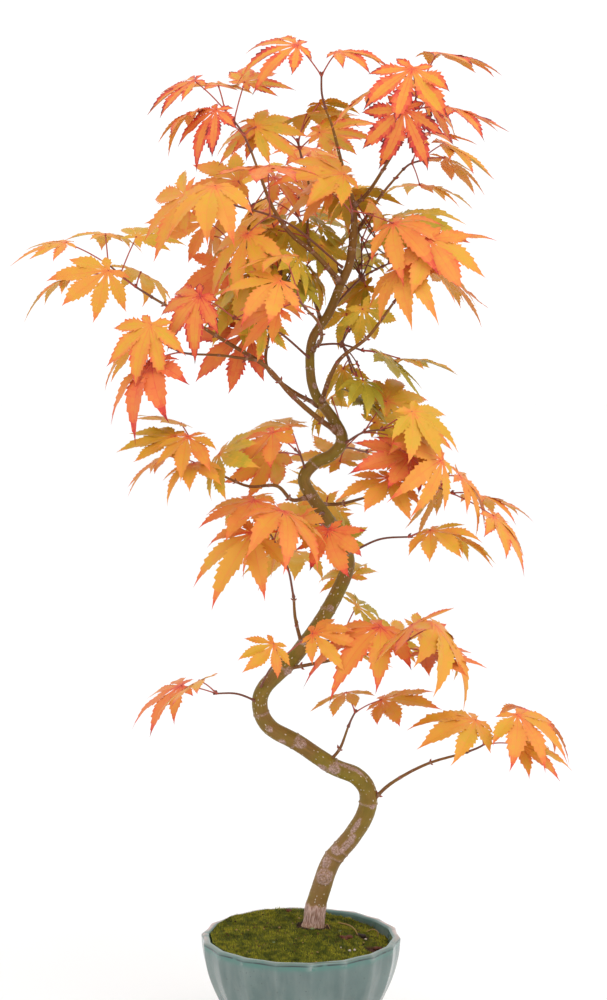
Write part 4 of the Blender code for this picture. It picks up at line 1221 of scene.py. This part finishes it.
def grow_mass(stem, pairs, twigs, length, seed, limbs, neighbours):
    """Twig lines, stalk lines and blades of one mass, and the rooms that they fill.

    Pairs of leaves stand opposite each other along the stem, and the last pair at its tip.
    Some of the side leaves are twigs with a pair of their own. A leaf that would touch a limb,
    another mass or another leaf is drawn again, and at last skipped.
    """
    rng = random.Random(seed)
    lines, stalks, blades = [stem], [], []
    rooms = [room(tube(stem, STEM_SIDES, STALK_ROOM))]
    blade_rooms = []

    def add_leaf(foot, way, side, spread):
        for _ in range(TRIES):
            stalk, place = draw_leaf(rng, foot, way, side, spread, length)
            stalk_room = room(tube(stalk, STALK_SIDES, STALK_ROOM))
            blade_room = room(blade(*place, LEAF_ROOM))
            if touches(stalk_room, limbs + neighbours + blade_rooms):
                continue
            if touches(blade_room, limbs + neighbours + rooms):
                continue
            stalks.append(stalk)
            blades.append(place)
            blade_rooms.append(blade_room)
            rooms.extend((stalk_room, blade_room))
            return

    def add_twig(foot, way, side):
        turn = math.radians(rng.uniform(*SIDE_SPREAD))
        start = way * math.cos(turn) + side * math.sin(turn)
        tip = foot + (start + UP * TWIG_LIFT).normalized() * rng.uniform(*TWIG_LENGTH)
        twig = tapered((foot, (foot + tip) / 2 + UP * TWIG_BOW, tip), TWIG_WIDTHS)
        twig_room = room(tube(twig, STEM_SIDES, STALK_ROOM))
        if touches(twig_room, limbs + neighbours + blade_rooms):
            return
        lines.append(twig)
        rooms.append(twig_room)
        add_pair(twig, 1.0, rng.uniform(*TWIG_ROLL), END_SPREAD)

    def add_pair(line, share, roll, spread, twigs_here=0):
        index = round((len(line) - 1) * share)
        way = ways(line)[index]
        level = way.cross(UP).normalized()
        roll = math.radians(roll)
        side = level * math.cos(roll) + level.cross(way) * math.sin(roll)
        foot = line[index].xyz - way * STALK_SINK * (share == 1.0)
        for number, hand in enumerate(rng.sample((side, -side), 2)):
            if number < twigs_here:
                add_twig(foot, way, hand)
            else:
                add_leaf(foot, way, hand, spread)

    step = min(MOST_BETWEEN, BARE_SHARE / max(1, pairs - 1))
    add_pair(stem, 1.0, rng.uniform(*END_ROLL), END_SPREAD)
    for number in range(1, pairs):
        roll = rng.uniform(*SIDE_ROLL) + NODE_TURN * (number % 2)
        add_pair(stem, 1.0 - step * number, roll, SIDE_SPREAD, 1 if number <= twigs else 0)
    return lines, stalks, blades, rooms


def stem_line(name, start, end, lines, trunk_tree):
    """The fine line of a mass's stem, clear of what carries it."""
    end = Vector(end)
    if start is None:
        carrier = lines.get(f"bough_{name}", lines[f"trunk_{len(TRUNK_BENDS) + 1}"])
        tip, way = carrier[-1].xyz, ways(carrier)[-1]
        foot = tip + way * GAP
        bow = (foot + way * (end - foot).length * TIP_BOW).lerp((foot + end) / 2, TIP_BOW)
        return curve(tapered((foot, bow, end), STEM_WIDTHS), FINE_STEP)
    foot = Vector(start)
    bow = (foot + end) / 2 + UP * (end - foot).length * STEM_BOW
    return leave(curve(tapered((foot, bow, end), STEM_WIDTHS), FINE_STEP), trunk_tree)


def grow_all(lines, shapes):
    """Each mass by name, grown in turn into the space that is left."""
    trunk_tree = surface([shape for name, shape in shapes.items() if name.startswith("trunk")])
    limbs = [room(shape) for shape in shapes.values()]
    fine_stems, stems, stem_rooms = {}, {}, {}
    for name, start, end, pairs, *_ in MASSES:
        fine_stems[name] = stem_line(name, start, end, lines, trunk_tree)
        stems[name] = stretches(fine_stems[name], 2 * pairs)
        stem_rooms[name] = room(tube(stems[name], STEM_SIDES, STALK_ROOM))
    masses, filled = {}, []
    for name, _, _, pairs, twigs, length, _, seed in MASSES:
        others = [stem_rooms[other] for other in stems if other != name]
        grown = grow_mass(stems[name], pairs, twigs, length, seed, limbs + others, filled)
        masses[name] = (fine_stems[name], *grown[:3])
        filled += grown[3]
    return masses, filled, limbs + list(stem_rooms.values())


# the leaf's real outline and colours, in lengths of its middle lobe
LEAF_NOTCH = (0.06, 0.12)  # how far from the hub two lobes part
LEAF_WIDTH = (0.122, 0.156)  # half the width of the widest lobe
LEAF_FALL = (0.07, 0.25)  # how far a lobe hangs: in step with its reach, and with its square
LOBE_SWELL = (1.3, 1.75)  # how slowly a lobe widens from its foot
LOBE_POINT = 1.6  # and how finely it runs out to its tip
LEAF_THIN = 0.009
LEAF_SCALE = 0.94  # size of a fine leaf, as a share of its solid's
INNER_ROWS = 3
PLAIN_ROWS = (0.08, 0.18)  # shares of a lobe before its first tooth
TEETH = {1.0: 8, 0.93: 8, 0.70: 6, 0.34: 3}  # on each side of a lobe, by its share in LOBES
TEETH_END = 0.90  # share of a lobe where its bare tip starts
TOOTH = 0.025  # how far a tooth stands out
TOOTH_MOST = 0.28  # the same as a share of the lobe's half width there, at most
TOOTH_AT = 0.95  # where a tooth's point stands, in steps between teeth
TOOTH_ROOT = 0.6  # and where the row that ends in it leaves the vein
TOOTH_SIZES = (0.5, 1.5)
NOTCH_DEPTH = -0.35  # how far the margin lies back between two teeth, as a share of a tooth
LAST_ROW = 0.95  # share of a lobe where its last row stands
LEAF_HANGS = (0.5, 1.8)  # how far its lobes' tips hang, as shares of LEAF_FALL
LEAF_FOLDS = (0.1, 0.5)  # how far the two halves of a lobe fold up along its vein
LOBE_REACHES = (0.88, 1.06)
LOBE_WIDTHS = (0.85, 1.12)
LOBE_CURL = (-0.1, 0.5)
CURL_FROM = 0.72  # share of a lobe from which it curls down
TWIST_FROM = 0.86  # and from which its tip turns aside
WAVE_MOST = 0.014
WAVE_AT = 0.12  # how far out from the vein a wave is whole
HALF_ROW = (1.0, 0.78, 0.42, 0.0)  # corners across half a lobe, from the margin to the vein
VEIN = 0.0090  # half the width of the red strip along a vein, at the hub
VEIN_THIN = 0.75  # how much of that it loses towards the tip
VEIN_MOST = 0.3  # its half width, as a share of the lobe's, at most
COLOURS = (
    (0.370, 0.280, 0.022),
    (0.470, 0.335, 0.026),
    (0.620, 0.365, 0.030),
    (0.700, 0.350, 0.034),
    (0.750, 0.300, 0.046),
    (0.765, 0.240, 0.050),
    (0.765, 0.180, 0.050),
    (0.740, 0.112, 0.048),
    (0.640, 0.060, 0.042),
    (0.380, 0.034, 0.028),
    (0.130, 0.020, 0.018),
)
SHADES = 21  # finishes that the colours are drawn out to
SHOOT_STEP = 0.0012  # between the rings of a twig's or a stalk's mesh
STALK_BOW = 0.0008
TWIG_BUD_LENGTH = (0.0016, 0.0026)
TONES = {"olive": 2.3, "gold": 3.0, "orange": 4.0, "flame": 5.0}
CROWN_AXIS = Vector((0.015, 0.0, 0.0))
INNER = (0.015, 0.065)  # how far from that axis the leaves have turned least and are darkest, in part painted shade, and wholly
INNER_LAG_AND_SHADE = 0.6  # how far the innermost leaves are behind in turning, and darkened as painted shade inside the crown
FINE_DRAWS = 110  # draws for the finer twigs of one mass
# masses that fill the crown round the trunk, and how many finer twigs each may grow
FILLING = {
    "left_inner": 18,
    "right_mid": 12,
    "right_olive": 6,
    "crown_back": 2,
    "back_neck": 1,
    "back_mid": 3,
    "left_thin": 1,
    "top_mid": 1,
}
FINE_GAP = 0.006  # the least room between the middles of two leaves, seen from the front
FINE_FROM = (0.35, 0.97)  # where on a stem or twig they start
FINE_LENGTH = (0.006, 0.026)
FINE_WIDTHS = (0.0009, 0.0008)
FINE_LEAF = 0.78  # size of their leaves, as a share of the mass's own
FINE_TILT = 0.35
FINE_PALER = 1.1  # how far such a leaf may be behind in turning
FINE_ROOM = 0.0009  # the thickness that is kept clear round such a leaf
REACH_ROOM = 0.004  # how far past the box of the mass's solid their middle lobes may end
# what a grower keeps in sight from the front, and between what heights
SHOWN = {
    "trunk": (0.352, 0.530),
    "bough_left_crown": (0.0, 1.0),
    "bough_right_crown": (0.0, 1.0),
    "bough_left_top": (0.0, 1.0),
    "bough_right_top": (0.0, 1.0),
}
SWELL_FOOT, SWELL_KNOT = 0.0016, 0.0009  # length of a swelling at an end of a shoot and at a knot
SHOWN_STEP = 6  # fine points of a limb between two that are looked at
SHOWN_ROOM = 0.002
SHOWN_MOST = 2  # how many of them a full grown leaf may cover
EYE = Vector((0.0, -1.6, 0.56))  # where the tree is looked at from
ASIDE_DRAWS = 60
SAME = 1e-6  # two rooms whose middles lie closer than this are one
ASIDE_ROOM = 0.008  # the same for a full grown leaf that is turned aside
REDDER = (0.535, 0.580)  # heights where the top leaves have turned a little more, and most
FAR_LEFT = (0.10, 0.14)  # and how far out at the left the same starts and is whole
TOP_RED = 2.7
TOP = (0.46, 0.54)  # heights between which the tints run together
TOP_TONE = 4.0
LOW_LEAVES = (0.25, 0.29)  # heights over which the lowest leaves, that are redder, run out
LOW_TONE = 0.65
EDGE_RED = (0.8, 1.1)  # how red the margin is: the middle and the spread of all leaves
TIP_RED = (0.8, 3.6)
HUB_RED = (1.2, 3.2)
HUB_REACH = 0.15  # how far the red of the hub runs out
TIP_FROM = 0.72  # share of a lobe where the red of the tip starts
UNDER_PALER = 0.6  # how far the underside is behind in turning
# finish and colour of a mass's wood, in the order that dress_mass() counts them
WOOD = (
    ("twig", (0.18, 0.056, 0.030)),
    ("stalk", (0.42, 0.075, 0.050)),
    ("twig_bud", (0.24, 0.05, 0.03)),
)
# each lobe from the right to the left: degrees from the middle lobe, share of its length
ALL_LOBES = [(-turn, reach) for turn, reach in reversed(LOBES[1:])] + list(LOBES)


def tooth_marks(rng, teeth):
    """Rows across a lobe beyond its foot.

    A row is where it leaves the vein, where it meets the margin, both as shares of the lobe, and how
    far the margin stands out there, in teeth.
    """
    marks = [(share, share, 0.0) for share in PLAIN_ROWS]
    step = (TEETH_END - PLAIN_ROWS[-1]) / teeth
    for tooth in range(teeth):
        foot = PLAIN_ROWS[-1] + step * tooth
        marks.append((foot + step * TOOTH_ROOT, foot + step * TOOTH_AT, rng.uniform(*TOOTH_SIZES)))
        marks.append((foot + step, foot + step, NOTCH_DEPTH))
    return marks + [(LAST_ROW, LAST_ROW, 0.0)]


def fine_leaf(rng, hub, heading, normal, length, tone):
    """Corners, faces and shades of one leaf: seven toothed lobes that meet at the hub.

    Each lobe is a fan of rows across it, from the hub to its tip: edge, blade, vein, blade, edge.
    A second, lower skin closes it underneath and meets the first along the margin.
    """
    beside = normal.cross(heading)
    vertices, faces, dealt, shared = [], [], [], {}
    notch = rng.uniform(*LEAF_NOTCH)
    widest = rng.uniform(*LEAF_WIDTH)
    redder = TOP_RED * max(ramp(hub.z, *REDDER), 0.6 * ramp(-hub.x, *FAR_LEFT))
    tone += (TOP_TONE - tone) * 0.6 * ramp(hub.z, *TOP)
    tone += LOW_TONE * (0.45 - ramp(hub.z, *LOW_LEAVES))
    edge_red = max(0.0, rng.gauss(*EDGE_RED)) + redder
    tip_red = rng.uniform(*TIP_RED) + 0.6 * redder
    hub_red = rng.uniform(*HUB_RED)
    # the innermost leaves take a lower tone: in part less turned, in part painted shade inside the crown
    tone += rng.gauss(0.1, 0.75) - INNER_LAG_AND_SHADE * (1 - ramp((hub - CROWN_AXIS).xy.length, *INNER))
    leaf_fall = rng.uniform(*LEAF_HANGS)
    leaf_fold = rng.uniform(*LEAF_FOLDS)
    swell = rng.uniform(*LOBE_SWELL)
    fullest = swell / (swell + LOBE_POINT)
    fullness = 1 / (fullest ** swell * (1 - fullest) ** LOBE_POINT)
    between_lobes = [(one[0] + other[0]) / 2 for one, other in zip(ALL_LOBES, ALL_LOBES[1:])]
    edges = [-180.0, *between_lobes, 180.0]

    def corner(point, height, key=None):
        if key is None or key not in shared:
            flat = heading * point.real + beside * point.imag
            vertices.append(hub + (flat + normal * height) * length)
            if key is None:
                return len(vertices) - 1
            shared[key] = len(vertices) - 1
        return shared[key]

    def face(corners, shade):
        faces.append(corners)
        step = shade * (SHADES - 1) / (len(COLOURS) - 1) + rng.uniform(-0.5, 0.5)
        dealt.append(min(SHADES - 1, max(0, round(step))))

    top, under = corner(0j, 0.004), corner(0j, -LEAF_THIN)
    for number, (turn, reach) in enumerate(ALL_LOBES):
        reach_here = reach * rng.uniform(*LOBE_REACHES)
        fall = leaf_fall * rng.uniform(0.6, 1.4)
        fold = leaf_fold * rng.uniform(0.5, 1.5)
        bend = math.radians(rng.gauss(-0.05 * turn, 6.0))
        curl = rng.uniform(*LOBE_CURL) * reach
        twist = rng.uniform(-1.6, 1.6)
        phase, waves, wave = rng.uniform(0, math.tau), rng.uniform(1.5, 3.0), rng.uniform(0.0, WAVE_MOST)
        lobe_tone = tone + rng.gauss(0, 0.35)
        halves = [math.radians(turn - edges[number]), math.radians(edges[number + 1] - turn)]
        notches = [notch if 0 < number else HEEL, notch if number < len(ALL_LOBES) - 1 else HEEL]
        width = widest * reach ** 0.8 * rng.uniform(*LOBE_WIDTHS)

        def height(along, aside, share):
            hang = -(LEAF_FALL[0] * along + LEAF_FALL[1] * along * along) * (1 + (fall - 1) * share)
            hang -= curl * max(0.0, share - CURL_FROM) ** 2
            waved = wave * math.sin(phase + waves * math.tau * share + (aside > 0)) * abs(aside) / WAVE_AT
            return hang + fold * abs(aside) * (0.35 + 0.65 * share) + waved

        def spot(along, aside):
            turned = twist * max(0.0, along / reach_here - TWIST_FROM) ** 2
            aside = aside + math.sin(bend) * along * along + turned
            angle = math.radians(turn)
            return complex(along, aside) * complex(math.cos(angle), math.sin(angle))

        start = sum(cut * math.cos(half) for cut, half in zip(notches, halves)) / 2
        rows = []
        for i in range(1, INNER_ROWS + 1):
            share = i / INNER_ROWS
            outer = []
            for cut, half in zip(notches, halves):
                outer.append((cut * share * math.cos(half), cut * share * math.sin(half)))
            rows.append((0.0, start * share, outer, i))
        for share, out_share, size in tooth_marks(rng, TEETH[reach]):
            outer = []
            for cut, half in zip(notches, halves):
                aside = cut * math.sin(half) * (1 - out_share) ** 2
                aside += width * fullness * out_share ** swell * (1 - out_share) ** LOBE_POINT
                tooth = min(TOOTH, TOOTH_MOST * aside) * size
                outer.append((start + (reach_here - start) * out_share, aside + tooth))
            rows.append((share, start + (reach_here - start) * share, outer, None))
        before = None
        for share, along, outer, inner in rows:
            strip = VEIN * (1 - VEIN_THIN * share) * min(1.0, reach + 0.2)
            line = []
            for hand, side in ((-1, 0), (1, 1)):
                out_along, out_aside = outer[side]
                key = None if inner is None else ((number + side) % len(ALL_LOBES), inner)
                strip_here = min(strip, out_aside * VEIN_MOST)
                corners = []
                for part in HALF_ROW:
                    part_along = along + (out_along - along) * part
                    aside = hand * (strip_here + (out_aside - strip_here) * part)
                    part_key = key if part == 1.0 else None
                    part_height = height(part_along, aside, share)
                    corners.append(corner(spot(part_along, aside), part_height, part_key))
                low = corners[0]
                if inner is not None and inner < INNER_ROWS:
                    depth = height(out_along, hand * out_aside, share) - LEAF_THIN
                    low = corner(spot(out_along, hand * out_aside), depth, (*key, "under"))
                line.append((*corners, low))
            line_top = [*line[0][:4], *reversed(line[1][:4])]
            middle = corner(spot(along, 0.0), height(along, 0.0, share) - LEAF_THIN * (1 - 0.6 * share))
            line_under = [line[0][4], middle, line[1][4]]
            red = hub_red * math.exp(-(along / HUB_REACH) ** 2) + tip_red * ramp(share, TIP_FROM, 1.0)
            patch = 0.8 * noise.noise(Vector((along * 5 + number * 3, hub.x * 90, hub.z * 90)))
            uneven = 1 + 1.2 * noise.noise(Vector((share * 6, number * 4, hub.x * 300)))
            margin = edge_red * ramp(share, 0.0, 0.5) * uneven
            blotch = (0.4 + 0.12 * redder) * margin
            shades = [red + margin, red + blotch, red, red + 1.3 * (1 - 0.8 * share)]
            shades = [lobe_tone + patch + shade for shade in (*shades, *reversed(shades[:3]))]
            low_shade = lobe_tone + patch + red * 0.6 - UNDER_PALER
            if before is None:
                for i, shade in enumerate(shades):
                    face((top, line_top[i], line_top[i + 1]), shade)
                for i in range(2):
                    face((under, line_under[i + 1], line_under[i]), low_shade)
            else:
                for i, shade in enumerate(shades):
                    face((before[0][i], line_top[i], line_top[i + 1], before[0][i + 1]), shade)
                for i in range(2):
                    face((before[1][i + 1], line_under[i + 1], line_under[i], before[1][i]), low_shade)
            before = (line_top, line_under)
        tip = corner(spot(reach_here, 0.0), height(reach_here, 0.0, 1.0))
        for i in range(len(shades)):
            face((before[0][i], tip, before[0][i + 1]), lobe_tone + tip_red + edge_red)
        for i in range(2):
            face((before[1][i + 1], tip, before[1][i]), lobe_tone + tip_red)
    return vertices, faces, dealt


def shoot(line, sides, swell_foot=0.0, swell_end=0.0, knots=()):
    """A thin tube along a fine line, thicker at its ends or at knots along it."""
    def shape(along, turn, point):
        reach = point.w / 2
        reach += swell_foot * point.w * math.exp(-(along / SWELL_FOOT) ** 2)
        reach += swell_end * point.w * math.exp(-((along - length) / SWELL_FOOT) ** 2)
        for knot in knots:
            reach += 0.3 * point.w * math.exp(-((along - knot) / SWELL_KNOT) ** 2)
        return reach, 0.0

    length = sum((after.xyz - before.xyz).length for before, after in zip(line, line[1:]))
    vertices, faces, *_ = bark(line, sides, shape)
    return vertices, faces


def hidden(place, shown):
    """How many points of the limbs kept in sight a leaf would cover."""
    hub, heading, normal, size = place
    beside = normal.cross(heading)
    spots = [hub]
    for turn, reach in ALL_LOBES:
        way = heading * math.cos(math.radians(turn)) + beside * math.sin(math.radians(turn))
        spots += [hub + way * size * reach * share for share in (0.3, 0.6, 0.9)]
    count = 0
    for point in shown:
        if (point.xyz - hub).xz.length > 2 * size:
            continue
        for spot in spots:
            if spot.y < point.y:
                seen = EYE.lerp(spot, (point.y - EYE.y) / (spot.y - EYE.y))
                if (seen - point.xyz).length < point.w / 2 + SHOWN_ROOM:
                    count += 1
                    break
    return count


def in_reach(spot, box, room_round):
    """Whether a place lies in a box, or within some room round it."""
    low, high = box
    return all(low[i] - room_round < spot[i] < high[i] + room_round for i in range(3))


def leaf_tip(place):
    hub, heading, _, size = place
    return hub + heading * size


def turn_aside(name, stalks, blades, length, seed, limbs, filled, shown):
    """The leaves of a mass, each one that would hang before a limb in sight turned aside or left off."""
    rng = random.Random(seed * 17 + 3)
    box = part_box(f"leaves_{name}")
    kept_stalks, kept_blades = [], []
    for stalk, place in zip(stalks, blades):
        if hidden(place, shown) > SHOWN_MOST:
            old = room(blade(*place, LEAF_ROOM))
            filled[:] = [one for one in filled if (one[0] - old[0]).length > SAME]
            foot = stalk[0].xyz
            way = (stalk[-1].xyz - foot).normalized()
            for _ in range(ASIDE_DRAWS):
                turned = way.copy()
                turned.rotate(Quaternion(UP, rng.uniform(-math.pi, math.pi)))
                stalk, place = draw_leaf(rng, foot, turned, UP, (0.0, 0.0), length)
                if not in_reach(leaf_tip(place), box, ASIDE_ROOM):
                    continue
                blade_room = room(blade(*place, FINE_ROOM))
                if not touches(blade_room, limbs + filled) and hidden(place, shown) <= SHOWN_MOST:
                    filled.append(blade_room)
                    break
            else:
                continue
        kept_stalks.append(stalk)
        kept_blades.append(place)
    return kept_stalks, kept_blades


def grow_finer(name, lines, length, seed, limbs, filled, shown, trunk_seen):
    """Finer twigs of one mass, each with one or two smaller leaves, in the room that is left.

    They are drawn by the rule that grew the mass. Of several draws the one nearest the trunk is kept.
    """
    rng = random.Random(seed * 13 + 5)
    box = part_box(f"leaves_{name}")
    twigs, stalks, blades = [], [], []
    near = [one for one in filled if in_reach(one[0], box, one[1])]
    own_stem = room(tube(lines[0], STEM_SIDES, STALK_ROOM))[0]
    near_limbs = [one for one in limbs if in_reach(one[0], box, one[1])]
    near_limbs = [one for one in near_limbs if (one[0] - own_stem).length > SAME]

    def draw_twig():
        """A finer twig: how far it is seen from the trunk, its line and leaves. None where it has no room."""
        line = rng.choice(lines)
        index = round((len(line) - 1) * rng.uniform(*FINE_FROM))
        foot, way = line[index].xyz.copy(), ways(line)[index]
        across = way.orthogonal().normalized()
        turn = rng.uniform(0, math.tau)
        side = across * math.cos(turn) + way.cross(across) * math.sin(turn)
        lean = math.radians(rng.uniform(*SIDE_SPREAD))
        start = (way * math.cos(lean) + side * math.sin(lean) + UP * TWIG_LIFT).normalized()
        tip = foot + start * rng.uniform(*FINE_LENGTH)
        twig = tapered((foot, (foot + tip) / 2 + UP * TWIG_BOW, tip), FINE_WIDTHS)
        if touches(room(tube(twig, STEM_SIDES, STALK_ROOM)), near_limbs):
            return None
        grown = []
        level = start.cross(UP).normalized()
        for hand in (level, -level):
            for _ in range(TRIES):
                root = tip - start * STALK_SINK
                stalk, place = draw_leaf(rng, root, start, hand, END_SPREAD, length * FINE_LEAF)
                tilt = Vector([rng.gauss(0, FINE_TILT) for _ in range(3)])
                normal = (place[2] + tilt).normalized()
                heading = (place[1] - normal * place[1].dot(normal)).normalized()
                place = (place[0], heading, normal, place[3])
                blade_room = room(blade(*place, FINE_ROOM))
                others = near_limbs + near + [leaf[2] for leaf in grown]
                if not in_reach(leaf_tip(place), box, REACH_ROOM):
                    continue
                if not touches(blade_room, others) and not hidden(place, shown):
                    grown.append((stalk, place, blade_room))
                    break
        if not grown:
            return None
        if any((leaf[2][0] - one[0]).xz.length < FINE_GAP for leaf in grown for one in near):
            return None
        aside = max(min((leaf[2][0] - point.xyz).xz.length for point in trunk_seen) for leaf in grown)
        return aside, twig, grown

    for _ in range(FILLING.get(name, 0)):
        drawn = [one for one in [draw_twig() for _ in range(FINE_DRAWS)] if one]
        if not drawn:
            break
        _, twig, grown = min(drawn, key=lambda one: one[0])
        twigs.append(twig)
        for stalk, place, blade_room in grown:
            stalks.append(stalk)
            blades.append(place)
            near.append(blade_room)
            filled.append(blade_room)
    return twigs, stalks, blades


def dress_mass(name, stem, lines, stalks, blades, full_grown, tint, seed):
    """The twigs and the leaves of one mass, as two meshes.

    full_grown is how many of the leaves, from the first on, belong to the mass's solid.
    """
    rng = random.Random(seed * 7 + 1)
    leaves, wood = ([], [], []), ([], [], [])
    knots = [(line[0].xyz - stem[0].xyz).length for line in lines[1:]]
    add(wood, shoot(stem[::3], 8, 0.3, 0.3, knots), 0)
    for twig in lines[1:]:
        add(wood, shoot(curve(twig, SHOOT_STEP), 7, 0.4, 0.3), 0)
    for stalk in stalks:
        foot, hub = stalk
        middle = (foot + hub) / 2
        middle.z += STALK_BOW
        add(wood, shoot(curve([foot, middle, hub], SHOOT_STEP), 6, 0.5, 0.35), 1)
        way = (hub.xyz - foot.xyz).normalized()
        armpit = foot.xyz + Vector((0.0, 0.0, 0.0006))
        add(wood, bud(armpit, (way + UP * 0.9).normalized(), rng.uniform(*TWIG_BUD_LENGTH)), 2)
    for number, (hub, heading, normal, length) in enumerate(blades):
        tone = TONES[tint] - (FINE_PALER * rng.random() if number >= full_grown else 0.0)
        vertices, faces, dealt = fine_leaf(rng, hub, heading, normal, length * LEAF_SCALE, tone)
        add(leaves, (vertices, faces), dealt)
    vertices, faces, dealt = leaves
    made = piece(f"blades_{name}", vertices, faces, leaf_finishes(tint), dealt, sharp=60)
    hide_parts(f"leaves_{name}")
    vertices, faces, dealt = wood
    made = piece(f"twigs_{name}", vertices, faces, twig_finishes(), dealt, sharp=60)
    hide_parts(f"leaves_{name}")


def leaf_finishes(tint):
    """One tint's finishes, from the palest to the deepest, made on their first use."""
    names = [f"{tint}_leaf_{number}" for number in range(SHADES)]
    if names[0] not in bpy.data.materials:
        for number, name in enumerate(names):
            place = number * (len(COLOURS) - 1) / (SHADES - 1)
            first = min(len(COLOURS) - 2, int(place))
            colour = Vector(COLOURS[first]).lerp(Vector(COLOURS[first + 1]), place - first)
            plain_finish(name, colour, 0.5, 0.22, 1200.0, 0.00004)
    return [bpy.data.materials[name] for name in names]


def twig_finishes():
    if WOOD[0][0] not in bpy.data.materials:
        for name, colour in WOOD:
            plain_finish(name, colour, 0.5)
    return [bpy.data.materials[name] for name, _ in WOOD]


def foliage():
    lines, shapes = limb_shapes()
    masses, filled, limbs = grow_all(lines, shapes)
    fine_lines = {"trunk": trunk_line(), **bough_lines()}
    trunk_seen = fine_lines["trunk"][::SHOWN_STEP]
    shown = []
    for name, (lowest, highest) in SHOWN.items():
        shown += [point for point in fine_lines[name][::SHOWN_STEP] if lowest < point.z < highest]
    for name, *_, length, _, seed in MASSES:
        stem, twigs, stalks, blades = masses[name]
        kept = turn_aside(name, stalks, blades, length, seed, limbs, filled, shown)
        masses[name] = (stem, twigs, *kept)
    filled = [room(blade(*place, FINE_ROOM)) for grown in masses.values() for place in grown[3]]
    for name, *_, length, tint, seed in MASSES:
        stem, *grown = masses[name]
        finer = grow_finer(name, grown[0], length, seed, limbs, filled, shown, trunk_seen)
        both = [old + new for old, new in zip(grown, finer)]
        dress_mass(name, stem, *both, len(grown[2]), tint, seed)


foliage()

# ---------------------------------------------------------------- studio
# A flat white paper floor under soft light from all round, with one large lamp high at the front
# right, and a long lens a little above the crown's middle.
CAMERA_PLACE = (0.0017, -1.60, 0.56)
CAMERA_DOWN = math.radians(7.72)
LENS = 98.9  # mm, on a frame 36 mm high
SENSOR = 36.0
SKY = 1.08
KEY = 12.0
KEY_PLACE = (0.9, -1.1, 1.9)
KEY_SIZE = (1.6, 1.2)
KEY_AIM = Vector((0.0, 0.0, 0.35))
FLOOR_HALF = 4.0
PAPER = (0.93, 0.93, 0.93)


def studio():
    scene = bpy.context.scene
    world = bpy.data.worlds.new("studio")
    world.use_nodes = True
    world.node_tree.nodes["Background"].inputs["Color"].default_value = (1.0, 1.0, 1.0, 1.0)
    world.node_tree.nodes["Background"].inputs["Strength"].default_value = SKY
    scene.world = world
    scene.view_settings.view_transform = "Standard"
    floor_mesh = bpy.data.meshes.new("floor")
    corners = [(x * FLOOR_HALF, y * FLOOR_HALF, 0) for x, y in ((-1, -1), (1, -1), (1, 1), (-1, 1))]
    floor_mesh.from_pydata(corners, [], [(0, 1, 2, 3)])
    floor = bpy.data.objects.new("floor", floor_mesh)
    scene.collection.objects.link(floor)
    paper, tree, shader = finish("white_paper", PAPER, 0.8, 0.1)
    tree.links.new(patches(tree, 3.0, 0.3, 0.7, 0.75, 0.85), shader.inputs["Roughness"])
    floor_mesh.materials.append(paper)
    lamp = bpy.data.lights.new("key", "AREA")
    lamp.shape = "RECTANGLE"
    lamp.size, lamp.size_y = KEY_SIZE
    lamp.energy = KEY
    key = bpy.data.objects.new("key", lamp)
    key.location = KEY_PLACE
    key.rotation_euler = (KEY_AIM - key.location).to_track_quat("-Z", "Y").to_euler()
    scene.collection.objects.link(key)
    lens = bpy.data.cameras.new("camera")
    lens.lens = LENS
    lens.sensor_width = SENSOR
    camera = bpy.data.objects.new("camera", lens)
    camera.location = CAMERA_PLACE
    camera.rotation_euler = (math.pi / 2 - CAMERA_DOWN, 0.0, 0.0)
    scene.collection.objects.link(camera)
    scene.camera = camera


studio()
